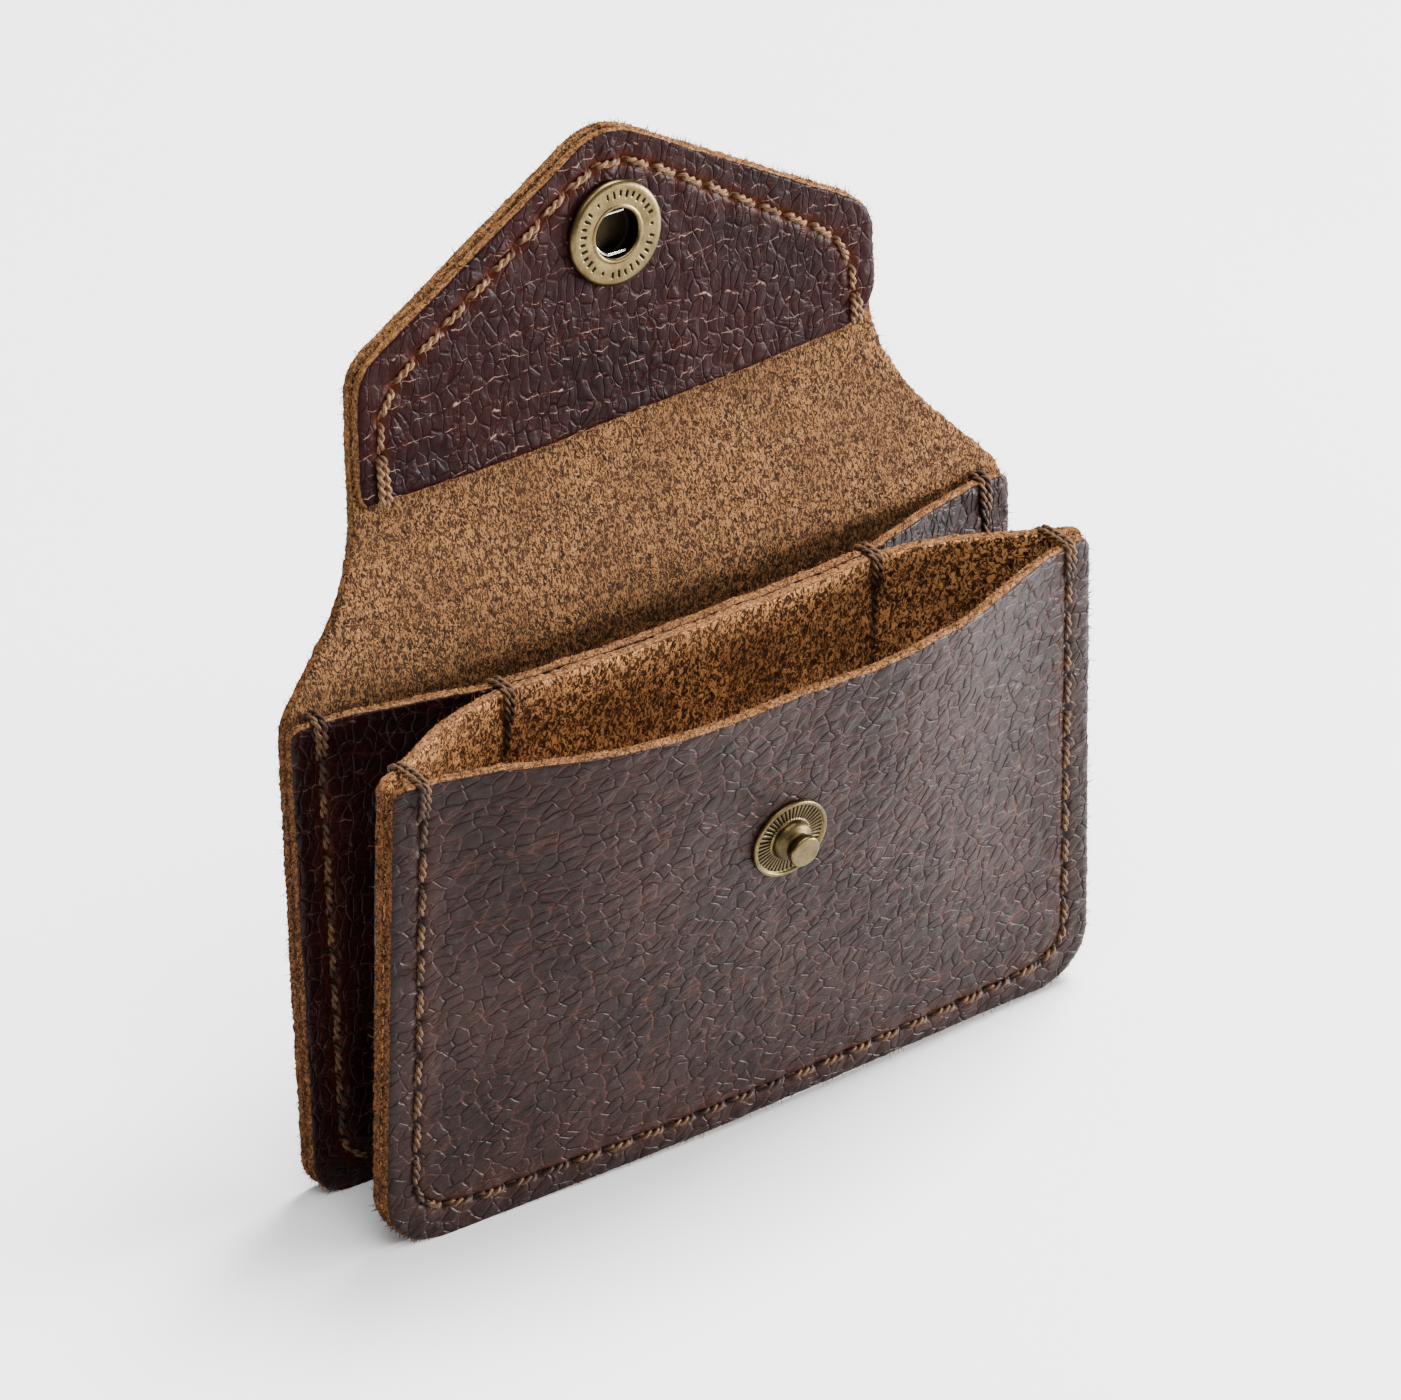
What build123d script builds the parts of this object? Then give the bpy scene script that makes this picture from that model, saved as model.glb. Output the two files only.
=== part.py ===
from build123d import *
import math
import os

os.makedirs("parts", exist_ok=True)

# Business card case, opened and standing on its bottom edges.
# While it is drawn, y = 0 is the grain face of the rear pocket at the bottom, the front is -Y,
# and everything is shifted along Y at the end so that the origin is the middle of the footprint box.

# Leather
LEATHER = 1.55          # thickness of every panel
LAYER_GAP = 0.05        # between two layers that are sewn together
FOLD_GAP = 0.12         # between two panels that turn against each other at a fold
WIDTH = 107.0           # across the case
HEIGHT = 64.0           # pockets, bottom edge to opening
CORNER_R = 8.0          # bottom corners of the front pocket
REAR_CORNER_R = 5.0     # bottom corners of the rear pocket
LEAN = 0.045            # back panel, mm towards the rear per mm of height

# Front panel: how far the grain face stands forward, across the half width
FRONT_TOP_HALF = 51.6
FRONT_BOTTOM = [(0, -16.6), (0.25, -16.4), (0.5, -15.9), (0.75, -15.3), (1, -14.9)]
FRONT_TOP = [(0, -26.0), (0.25, -26.0), (0.39, -25.2), (0.52, -23.7), (0.66, -21.0), (0.78, -18.5),
             (0.88, -16.8), (1, -15.6)]
# Rear pocket panel at its opening, pulled forward by the two divider seams
REAR_TOP = [(0, -3.7), (0.25, -3.4), (0.51, -2.6), (0.64, -1.0), (0.75, 1.0), (0.85, 2.3), (1, 2.88)]
# Gusset wing at its top edge, from the divider seam to the side of the front panel
WING_TOP = [(0, -4.2), (0.12, -4.7), (0.28, -5.6), (0.44, -6.9), (0.6, -8.9), (0.77, -11.2), (1, -14.0)]

SEAM_X = 27.4           # divider seams, from the middle
SEAM_LOW_Z = 46.0       # lower end of the divider seams

# Flap: two folds, then a flat tongue
HINGE_1_Z = 65.1
STRIP_LENGTH = 23.2
STRIP_LEAN = 17.4       # degrees back from vertical
FLAP_LEAN = 5.4
STRIP_HALF = [(0.0, 52.4), (3.2, 49.5), (6.0, 46.8), (9.0, 44.0), (12.2, 41.7), (15.5, 40.0),
              (19.0, 38.8), (23.2, 38.2)]
FLAP_SHOULDER = (37.8, 15.2, 6.0)
FLAP_APEX = (0.0, 37.4, 9.0)
FACING_START = 2.0      # lower edge of the facing, above the fold

# Thread
STITCH_INSET = 4.0
THREAD = 0.9
THREAD_PROUD = 0.45
STITCH_PITCH = 4.5

# Snap
STUD_Z = 43.4
STUD_FLANGE_R = 5.4
STUD_FLANGE_H = 0.8
STUD_DOME_R = 2.6
STUD_HEAD_R = 2.1
STUD_NECK_R = 1.65
STUD_HEIGHT = 2.9       # above the flange
POST_R = 1.9
SOCKET_UP = 22.64       # along the tongue from the fold to the socket
RING_R = 6.65
RING_HOLE_R = 3.1
RING_H = 1.1
BARREL_R = 4.3
WIRE_R = 0.22
WIRE_OFFSET = 2.72
CAP_R = 6.4


def interp(table, s):
    """Smooth curve through (share, value) knots, level at share 0 where the table starts there."""
    s = min(abs(s), table[-1][0])
    slopes = []
    for i, (a, ya) in enumerate(table):
        (p, yp), (q, yq) = table[max(i - 1, 0)], table[min(i + 1, len(table) - 1)]
        slopes.append(0.0 if i == 0 else (yq - yp) / (q - p))
    for i, ((a, ya), (b, yb)) in enumerate(zip(table, table[1:])):
        if s <= b:
            w = b - a
            t = (s - a) / w
            return ((2 * t ** 3 - 3 * t ** 2 + 1) * ya + (t ** 3 - 2 * t ** 2 + t) * w * slopes[i]
                    + (3 * t ** 2 - 2 * t ** 3) * yb + (t ** 3 - t ** 2) * w * slopes[i + 1])
    return table[-1][1]


SAMPLES = 14            # points on each half of a curve


def both_sides(table, half):
    """Points of a symmetric curve, from the left end to the right end."""
    shares = [k / SAMPLES for k in range(-SAMPLES, SAMPLES + 1)]
    return [(s * half, interp(table, s)) for s in shares]


def section(points, z, thick=LEATHER):
    """A thin curved strip: the grain curve, and the same curve one thickness behind it."""
    front = Spline(*[(x, y, z) for x, y in points])
    rear = Spline(*[(x, y + thick, z) for x, y in reversed(points)])
    return make_face([front, Line(front @ 1, rear @ 0), rear, Line(rear @ 1, front @ 0)])


def sheet_solid(*levels, thick=LEATHER):
    """Ruled sheet through curves given as (points, z), lowest first."""
    faces = [section(points, z, thick) for points, z in levels]
    body = loft([faces[0], faces[1]], ruled=True)
    for low, high in zip(faces[1:], faces[2:]):
        body = body + loft([low, high], ruled=True)
    return body


def rounded(corners):
    """Closed outline from (x, z, radius) corners, as a face in the XZ plane."""
    edges, n = [], len(corners)
    ends = []
    for i, (x, z, r) in enumerate(corners):
        here = Vector(x, z)
        before = (Vector(*corners[i - 1][:2]) - here).normalized()
        after = (Vector(*corners[(i + 1) % n][:2]) - here).normalized()
        half = math.radians(before.get_angle(after)) / 2
        if r <= 0 or half < 0.01:
            ends.append((here, here, None))
            continue
        run = r / math.tan(half)
        middle = here + (before + after).normalized() * (r / math.sin(half) - r)
        ends.append((here + before * run, here + after * run, middle))
    for i, (first, last, middle) in enumerate(ends):
        if middle is not None:
            edges.append(ThreePointArc(first, middle, last))
        edges.append(Line(last, ends[(i + 1) % n][0]))
    return Plane.XZ * make_face(edges)


def prism(face):
    return extrude(face, amount=90, both=True)


def box_outline(half_low, half_top, low, top, low_r, top_r):
    return [(-half_low, low, low_r), (half_low, low, low_r), (half_top, top, top_r), (-half_top, top, top_r)]


def u_band(outline_of, inset):
    """Band one thread wide that follows the sides and the bottom of a pocket and is open at the top."""
    outer = prism(rounded(outline_of(inset - THREAD / 2)))
    inner = prism(rounded(outline_of(inset + THREAD / 2)))
    return outer - inner


# ---------------------------------------------------------------- rear pocket
HALF = WIDTH / 2


def rear_outline(inset):
    r = max(REAR_CORNER_R - inset * 0.6, 1.0)
    return box_outline(HALF - inset, HALF - inset, inset, HEIGHT + (20 if inset else 0), r, 0.0 if inset else 1.5)


rear_low = both_sides([(0, 0.0), (1, 0.0)], HALF)
rear_top = both_sides(REAR_TOP, HALF)
rear_pocket_panel = sheet_solid((rear_low, 0), (rear_top, HEIGHT)) & prism(rounded(rear_outline(0)))


def leaning_slab(y0, y1, z0, z1):
    """Flat slab that leans back like the back panel, with its faces y0 and y1 behind the bottom line."""
    pts = [(y0 + LEAN * z0, z0), (y1 + LEAN * z0, z0), (y1 + LEAN * z1, z1), (y0 + LEAN * z1, z1)]
    face = Plane.YZ * make_face(Polyline(*pts, close=True))
    return extrude(face, amount=HALF + 5, both=True)


BACK_FRONT = LEATHER + LAYER_GAP
BACK_REAR = BACK_FRONT + LEATHER
back_top = HINGE_1_Z - LEATHER / 2 - FOLD_GAP
back_corners = [(-HALF, 0, REAR_CORNER_R), (HALF, 0, REAR_CORNER_R), (HALF, 62.0, 2.5),
                (HALF - 1.0, back_top, 0), (-HALF + 1.0, back_top, 0), (-HALF, 62.0, 2.5)]
back_panel = leaning_slab(BACK_FRONT, BACK_REAR, 0, back_top) & prism(rounded(back_corners))

# ---------------------------------------------------------------- front pocket


def front_outline(inset):
    r = max(CORNER_R - inset * 0.6, 1.0)
    top = HEIGHT + (20 if inset else 0)
    return box_outline(HALF - inset, FRONT_TOP_HALF - inset, inset, top, r, 0.0 if inset else 1.8)


front_low = both_sides(FRONT_BOTTOM, HALF)
front_top = both_sides(FRONT_TOP, FRONT_TOP_HALF)
front_cut = prism(rounded(front_outline(0)))
front_panel = sheet_solid((front_low, 0), (front_top, HEIGHT)) & front_cut

# Gusset: the middle lies on the rear pocket along the divider seams, then runs out to the front seam
STEP = LEATHER + LAYER_GAP
MID_HALF = SEAM_X - 0.2
mid_x = [k / 8 for k in range(-8, 9)]


def rear_face_y(x, z):
    return interp(REAR_TOP, x / HALF) * z / HEIGHT


def front_face_y(x, z):
    low = interp(FRONT_BOTTOM, x / HALF)
    top = interp(FRONT_TOP, x / HALF)
    return low + (top - low) * z / HEIGHT


mid_low = [(s * MID_HALF, front_face_y(s * MID_HALF, 0) + STEP + 0.05) for s in mid_x]
mid_seam = [(s * MID_HALF, rear_face_y(s * MID_HALF, SEAM_LOW_Z) - STEP - 0.1) for s in mid_x]
mid_top = [(s * MID_HALF, rear_face_y(s * MID_HALF, HEIGHT) - STEP - 0.1) for s in mid_x]
gusset_middle = sheet_solid((mid_low, 0), (mid_seam, SEAM_LOW_Z), (mid_top, HEIGHT))


def wing(side):
    shares = [k / 12 for k in range(13)]
    start = SEAM_X + 0.1
    seam_half = HALF + (FRONT_TOP_HALF - HALF) * SEAM_LOW_Z / HEIGHT
    y_seam = rear_face_y(start, SEAM_LOW_Z) - STEP - 0.1
    y_end = front_face_y(HALF, SEAM_LOW_Z) + STEP
    wing_run = WING_TOP[-1][1] - WING_TOP[0][1]

    def low_y(s):
        return interp(FRONT_BOTTOM, (start + s * (HALF - start)) / HALF) + STEP + 0.05

    def seam_y(s):
        return y_seam + (y_end - y_seam) * (interp(WING_TOP, s) - WING_TOP[0][1]) / wing_run

    def top_y(s):
        return interp(WING_TOP, s) - 0.1 * (1 - s)

    def row(end_half, fn):
        pts = [(side * (start + s * (end_half - start)), fn(s)) for s in shares]
        return pts if side > 0 else pts[::-1]

    return sheet_solid((row(HALF, low_y), 0), (row(seam_half, seam_y), SEAM_LOW_Z),
                       (row(FRONT_TOP_HALF, top_y), HEIGHT)) & front_cut


gusset_wing_left = wing(-1)
gusset_wing_right = wing(1)

# ---------------------------------------------------------------- flap
fold_1 = Vector(0, LEAN * HINGE_1_Z + BACK_FRONT + LEATHER / 2, HINGE_1_Z)
strip_dir = Vector(0, math.sin(math.radians(STRIP_LEAN)), math.cos(math.radians(STRIP_LEAN)))
flap_dir = Vector(0, math.sin(math.radians(FLAP_LEAN)), math.cos(math.radians(FLAP_LEAN)))
fold_2 = fold_1 + strip_dir * STRIP_LENGTH


def lay(solid, origin, lean):
    """Takes a flat piece drawn upright at the origin and leans it back at a fold."""
    return Pos(*origin) * Rot(-lean, 0, 0) * solid


def flat_plate(face, front, rear):
    """Plate cut to an outline in the XZ plane, between two depths."""
    cutter = Pos(0, (front + rear) / 2, 0) * Box(400, rear - front, 400)
    return prism(face) & cutter


def rolled_edge(half):
    return Rot(0, 90, 0) * Cylinder(LEATHER / 2, 2 * half)


strip_end = STRIP_LENGTH - LEATHER / 2 - FOLD_GAP
right_side = Spline(*[(x, u) for u, x in STRIP_HALF])
left_side = Spline(*[(-x, u) for u, x in reversed(STRIP_HALF)])
strip_face = Plane.XZ * make_face([right_side, Line(right_side @ 1, left_side @ 0), left_side,
                                   Line(left_side @ 1, right_side @ 0)])
strip_flat = flat_plate(strip_face, -LEATHER / 2, LEATHER / 2) & (
    Pos(0, 0, strip_end / 2) * Box(200, 20, strip_end))
fold_strip = lay(strip_flat + rolled_edge(STRIP_HALF[0][1]), fold_1, STRIP_LEAN)


def tongue(start, inset=0.0):
    """Outline of the tongue from a height above the fold to its rounded point."""
    side = STRIP_HALF[-1][1] - inset
    sx, sz, sr = FLAP_SHOULDER
    ax, az, ar = FLAP_APEX
    slope = math.atan2(az - sz, sx)
    drop = inset / math.cos(slope)
    shoulder = (side, sz - drop + inset * math.tan(slope), max(sr - inset, 1.0))
    return [(-side, start, 0), (side, start, 0), shoulder, (ax, az - drop, max(ar - inset, 1.0)),
            (-shoulder[0], shoulder[1], shoulder[2])]


flap_flat = flat_plate(rounded(tongue(0)), -LEATHER / 2, LEATHER / 2) + rolled_edge(STRIP_HALF[-1][1])
facing_front = -LEATHER / 2 - LAYER_GAP - LEATHER
facing_flat = flat_plate(rounded(tongue(FACING_START)), facing_front, -LEATHER / 2 - LAYER_GAP)
socket_hole = Pos(0, 0, SOCKET_UP) * Rot(90, 0, 0) * Cylinder(BARREL_R + 0.05, 20)
flap_panel = lay(flap_flat - socket_hole, fold_2, FLAP_LEAN)
flap_facing = lay(facing_flat - socket_hole, fold_2, FLAP_LEAN)

# ---------------------------------------------------------------- seams: each thread is one solid
# The thread shows on both faces and passes through the leather at the needle holes.


def pin(x, z, y0, y1):
    return Pos(x, (y0 + y1) / 2, z) * Rot(90, 0, 0) * Cylinder(THREAD / 2, y1 - y0)


def shifted(points, dy):
    return [(x, y + dy) for x, y in points]


def face_thread(low, top, outline_of):
    """Thread that lies on the grain face of a pocket, along its sides and bottom."""
    off = -LAYER_GAP / 2 - THREAD_PROUD
    skin = sheet_solid((shifted(low, off), 0), (shifted(top, off), HEIGHT), thick=THREAD_PROUD)
    keep = Pos(0, 0, (HEIGHT - 1) / 2) * Box(400, 400, HEIGHT - 1)
    return skin & u_band(outline_of, STITCH_INSET) & keep


rear_seam_thread = face_thread(rear_low, rear_top, rear_outline)
back_thread_y = BACK_REAR + LAYER_GAP / 2
rear_seam_back_thread = leaning_slab(back_thread_y, back_thread_y + THREAD_PROUD, 0, HEIGHT - 1) & u_band(
    rear_outline, STITCH_INSET)
front_seam_thread = face_thread(front_low, front_top, front_outline)


def divider_thread(side):
    x0 = side * SEAM_X
    length = HEIGHT - 1.0 - SEAM_LOW_Z
    y_low = rear_face_y(SEAM_X, SEAM_LOW_Z)
    y_top = rear_face_y(SEAM_X, HEIGHT - 1.0)
    front_off = -STEP - 0.15 - THREAD_PROUD
    back_off = LEATHER + 0.08
    body = None
    for off in (front_off, back_off):
        pts = [(y_low + off, SEAM_LOW_Z), (y_low + off + THREAD_PROUD, SEAM_LOW_Z),
               (y_top + off + THREAD_PROUD, SEAM_LOW_Z + length), (y_top + off, SEAM_LOW_Z + length)]
        bar = extrude(Plane.YZ * make_face(Polyline(*pts, close=True)), amount=THREAD / 2, both=True)
        bar = Pos(x0, 0, 0) * bar
        body = bar if body is None else body + bar
    for k in range(4):
        z = SEAM_LOW_Z + 1.6 + k * STITCH_PITCH
        y = rear_face_y(SEAM_X, z)
        body = body + pin(x0, z, y + front_off + 0.2, y + back_off + 0.3)
    return body


divider_thread_left = divider_thread(-1)
divider_thread_right = divider_thread(1)


def flap_thread():
    outer = prism(rounded(tongue(-5, STITCH_INSET - THREAD / 2)))
    inner = prism(rounded(tongue(-5, STITCH_INSET + THREAD / 2)))
    low = FACING_START + 0.6
    band = (outer - inner) & (Pos(0, 0, low + 50) * Box(200, 200, 100))
    clear = LAYER_GAP / 2
    front = band & (Pos(0, facing_front - clear - THREAD_PROUD / 2, 0) * Box(400, THREAD_PROUD, 400))
    rear = band & (Pos(0, LEATHER / 2 + clear + THREAD_PROUD / 2, 0) * Box(400, THREAD_PROUD, 400))
    body = front + rear
    x = STRIP_HALF[-1][1] - STITCH_INSET
    for side in (-1, 1):
        for k in range(3):
            body = body + pin(side * x, low + 0.6 + k * STITCH_PITCH, facing_front - 0.3, LEATHER / 2 + 0.3)
    return lay(body, fold_2, FLAP_LEAN)


flap_seam_thread = flap_thread()

# ---------------------------------------------------------------- snap
stud_lean = math.degrees(math.atan2(FRONT_BOTTOM[0][1] - FRONT_TOP[0][1], HEIGHT))
stud_point = (0, front_face_y(0, STUD_Z), STUD_Z)


def on_front(solid):
    """Takes a piece drawn along +Z and stands it out from the front panel at the stud."""
    return Pos(*stud_point) * Rot(90 + stud_lean, 0, 0) * solid


def turned(profile):
    """Solid of revolution from (radius, height) corners."""
    return revolve(Plane.XZ * make_face(Polyline(*profile, close=True)), Axis.Z, 360)


lift = 0.05
top_z = lift + STUD_FLANGE_H
stud_profile = [
    (POST_R + 0.02, lift), (STUD_FLANGE_R, lift), (STUD_FLANGE_R, top_z - 0.15),
    (STUD_FLANGE_R - 0.4, top_z), (STUD_FLANGE_R - 1.1, top_z - 0.05), (STUD_FLANGE_R - 1.5, top_z - 0.3),
    (STUD_DOME_R + 0.25, top_z - 0.3), (STUD_DOME_R, top_z), (STUD_DOME_R - 0.15, top_z + 0.7),
    (STUD_NECK_R + 0.3, top_z + 1.05), (STUD_NECK_R, top_z + 1.4), (STUD_HEAD_R, top_z + 1.9),
    (STUD_HEAD_R, top_z + 2.5), (STUD_HEAD_R - 0.35, top_z + STUD_HEIGHT), (0, top_z + STUD_HEIGHT),
    (0, top_z + 0.5), (POST_R + 0.02, top_z + 0.5)]
snap_stud = on_front(turned(stud_profile))
post_back = -LEATHER - 0.1
post_profile = [(0, post_back - 0.6), (4.4, post_back - 0.6), (4.6, post_back - 0.35), (4.6, post_back),
                (POST_R, post_back), (POST_R, top_z + 0.4), (0, top_z + 0.4)]
stud_post = on_front(turned(post_profile))
front_panel = front_panel - on_front(Cylinder(POST_R + 0.1, 12))

socket_front = -facing_front + 0.03


def on_flap(solid):
    """Takes a piece drawn along +Z and stands it out from the inner face of the tongue."""
    local = Pos(0, 0, SOCKET_UP) * Rot(90, 0, 0) * solid
    return lay(local, fold_2, FLAP_LEAN)


floor_z = socket_front - 2.1
socket_profile = [
    (0, floor_z - 0.7), (BARREL_R, floor_z - 0.7), (BARREL_R, socket_front), (RING_R, socket_front),
    (RING_R, socket_front + RING_H - 0.5), (RING_R - 0.35, socket_front + RING_H - 0.1),
    (RING_R - 0.9, socket_front + RING_H), (RING_R - 1.6, socket_front + RING_H - 0.2),
    (RING_HOLE_R + 0.9, socket_front + RING_H - 0.25), (RING_HOLE_R + 0.3, socket_front + RING_H - 0.1),
    (RING_HOLE_R, socket_front + RING_H - 0.35), (RING_HOLE_R, floor_z), (0, floor_z)]
snap_socket = on_flap(turned(socket_profile))
wire_length = 2 * math.sqrt((RING_HOLE_R - 0.02) ** 2 - (WIRE_OFFSET + WIRE_R) ** 2)
wire_z = socket_front + RING_H - 0.75


def spring_wire(side):
    return on_flap(Pos(0, side * WIRE_OFFSET, wire_z) * Rot(0, 90, 0) * Cylinder(WIRE_R, wire_length))


spring_wire_upper = spring_wire(1)
spring_wire_lower = spring_wire(-1)
cap_rear = -LEATHER / 2 - 0.05
cap_profile = [(0, cap_rear), (0, cap_rear - 1.3), (2.6, cap_rear - 1.2), (4.8, cap_rear - 0.85),
               (6.1, cap_rear - 0.35), (CAP_R, cap_rear - 0.1), (CAP_R, cap_rear)]
snap_cap = on_flap(turned(cap_profile))

pieces = {
    "back_panel": back_panel,
    "fold_strip": fold_strip,
    "flap_panel": flap_panel,
    "flap_facing": flap_facing,
    "rear_pocket_panel": rear_pocket_panel,
    "gusset_middle": gusset_middle,
    "gusset_wing_left": gusset_wing_left,
    "gusset_wing_right": gusset_wing_right,
    "front_panel": front_panel,
    "rear_seam_thread": rear_seam_thread,
    "rear_seam_back_thread": rear_seam_back_thread,
    "front_seam_thread": front_seam_thread,
    "divider_thread_left": divider_thread_left,
    "divider_thread_right": divider_thread_right,
    "flap_seam_thread": flap_seam_thread,
    "snap_cap": snap_cap,
    "snap_socket": snap_socket,
    "spring_wire_upper": spring_wire_upper,
    "spring_wire_lower": spring_wire_lower,
    "snap_stud": snap_stud,
    "stud_post": stud_post,
}

boxes = [p.bounding_box() for p in pieces.values()]
shift = -(min(b.min.Y for b in boxes) + max(b.max.Y for b in boxes)) / 2
for name, piece in pieces.items():
    moved = Pos(0, shift, 0) * piece
    solids = moved.solids()
    b = moved.bounding_box()
    print(f"{name}: {len(solids)} solid(s), volume {sum(s.volume for s in solids):.1f}, "
          f"x {b.min.X:.2f}..{b.max.X:.2f} y {b.min.Y:.2f}..{b.max.Y:.2f} z {b.min.Z:.2f}..{b.max.Z:.2f}")
    export_step(solids[0] if len(solids) == 1 else moved, f"parts/{name}.step")
print(f"shift {shift:.4f}, fold 1 at y {fold_1.Y + shift:.4f} z {fold_1.Z:.4f}, "
      f"fold 2 at y {fold_2.Y + shift:.4f} z {fold_2.Z:.4f}")
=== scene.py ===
import math
import bpy
import numpy as np
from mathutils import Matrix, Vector


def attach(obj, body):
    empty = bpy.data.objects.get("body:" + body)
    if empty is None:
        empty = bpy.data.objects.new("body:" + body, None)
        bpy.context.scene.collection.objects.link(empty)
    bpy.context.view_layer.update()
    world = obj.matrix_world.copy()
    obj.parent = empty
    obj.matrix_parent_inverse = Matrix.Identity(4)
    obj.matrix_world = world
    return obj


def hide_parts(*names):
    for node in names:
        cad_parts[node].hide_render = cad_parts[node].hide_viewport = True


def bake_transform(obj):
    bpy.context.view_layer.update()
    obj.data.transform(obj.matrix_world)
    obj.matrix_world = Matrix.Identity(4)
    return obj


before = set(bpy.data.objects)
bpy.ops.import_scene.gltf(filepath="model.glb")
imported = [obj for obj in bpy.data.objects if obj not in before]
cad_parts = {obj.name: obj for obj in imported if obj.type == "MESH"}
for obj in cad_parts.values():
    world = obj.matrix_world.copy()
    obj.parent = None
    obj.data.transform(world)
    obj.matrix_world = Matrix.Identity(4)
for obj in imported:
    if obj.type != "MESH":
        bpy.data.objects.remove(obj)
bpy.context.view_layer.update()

MM = 0.001

# ---- sizes, in mm, as in the CAD
T = 1.55                    # thickness of the leather
LAYER = 0.05                # room between two sewn layers
STEP = T + LAYER
HALF = 53.5                 # half width of the case
TOP_HALF = 51.6             # half width of the front panel at its opening
H = 64.0                    # height of the pockets
LEAN = 0.045                # of the rear pocket, as a slope
SHIFT_Y = 5.1527            # moves everything to the middle of the footprint
SEAM_X, SEAM_Z = 27.4, 46.0  # place and lower end of the divider seams
HOLE_TOP = 59.6             # height of the needle hole that a wrap starts from
FRONT_BOTTOM = [(0, -16.6), (0.25, -16.4), (0.5, -15.9), (0.75, -15.3), (1, -14.9)]
FRONT_TOP = [
    (0, -26.0), (0.25, -26.0), (0.39, -25.2), (0.52, -23.7), (0.66, -21.0), (0.78, -18.5), (0.88, -16.8), (1, -15.6)]
REAR_TOP = [(0, -3.7), (0.25, -3.4), (0.51, -2.6), (0.64, -1.0), (0.75, 1.0), (0.85, 2.3), (1, 2.88)]
WING_TOP = [(0, -4.2), (0.12, -4.7), (0.28, -5.6), (0.44, -6.9), (0.6, -8.9), (0.77, -11.2), (1, -14.0)]
FOLD_1 = 65.1               # height of the rear fold on the back panel
STRIP = 23.2                # leather between the folds
STRIP_LEAN, FLAP_LEAN = math.radians(17.4), math.radians(5.4)
PITCH = 4.5                 # from stitch to stitch
BEND = 6                    # length of leather that bends each side of a fold


def hermite(table, s):
    s = np.clip(np.abs(np.asarray(s, float)), 0, table[-1][0])
    k, y = np.array(table, float).T
    m = np.zeros(len(k))
    m[1:-1] = (y[2:] - y[:-2]) / (k[2:] - k[:-2])
    m[-1] = (y[-1] - y[-2]) / (k[-1] - k[-2])
    i = np.clip(np.searchsorted(k, s, side="left") - 1, 0, len(k) - 2)
    w = k[i + 1] - k[i]
    t = (s - k[i]) / w
    return ((2 * t**3 - 3 * t**2 + 1) * y[i] + (t**3 - 2 * t**2 + t) * w * m[i]
            + (3 * t**2 - 2 * t**3) * y[i + 1] + (t**3 - t**2) * w * m[i + 1])


def smooth(a, b, x):
    t = np.clip((x - a) / (b - a), 0, 1)
    return t * t * (3 - 2 * t)


def unit(v):
    return v / (np.linalg.norm(v, axis=-1, keepdims=True) + 1e-12)


def lengths(p):
    """Length along a path, at each of its points."""
    return np.concatenate([[0], np.cumsum(np.linalg.norm(np.diff(p, axis=0), axis=1))])


def spot(place, x, v):
    """One point of the surface that place() draws."""
    return place(np.array(float(x)), np.array(float(v)))


# ---- seeded noise on the flat leather
def hash01(i, j, k):
    n = (i.astype(np.int64) * 374761393 + j.astype(np.int64) * 668265263 + k * 1274126177) & 0x7FFFFFFF
    n = ((n ^ (n >> 13)) * 1274126177) & 0x7FFFFFFF
    n = ((n ^ (n >> 16)) * 374761393) & 0x7FFFFFFF
    return ((n ^ (n >> 15)) & 0xFFFFFF) / float(0xFFFFFF)


def value_noise(x, y, seed):
    i, j = np.floor(x), np.floor(y)
    fx, fy = x - i, y - j
    fx, fy = fx * fx * (3 - 2 * fx), fy * fy * (3 - 2 * fy)
    a, b = hash01(i, j, seed), hash01(i + 1, j, seed)
    c, d = hash01(i, j + 1, seed), hash01(i + 1, j + 1, seed)
    return (a + (b - a) * fx) * (1 - fy) + (c + (d - c) * fx) * fy


def fractal(x, y, seed, octaves=3):
    total, weight, out = 0.0, 1.0, 0.0
    for o in range(octaves):
        out = out + weight * value_noise(x * 2**o, y * 2**o, seed + 31 * o)
        total += weight
        weight *= 0.5
    return out / total


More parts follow.
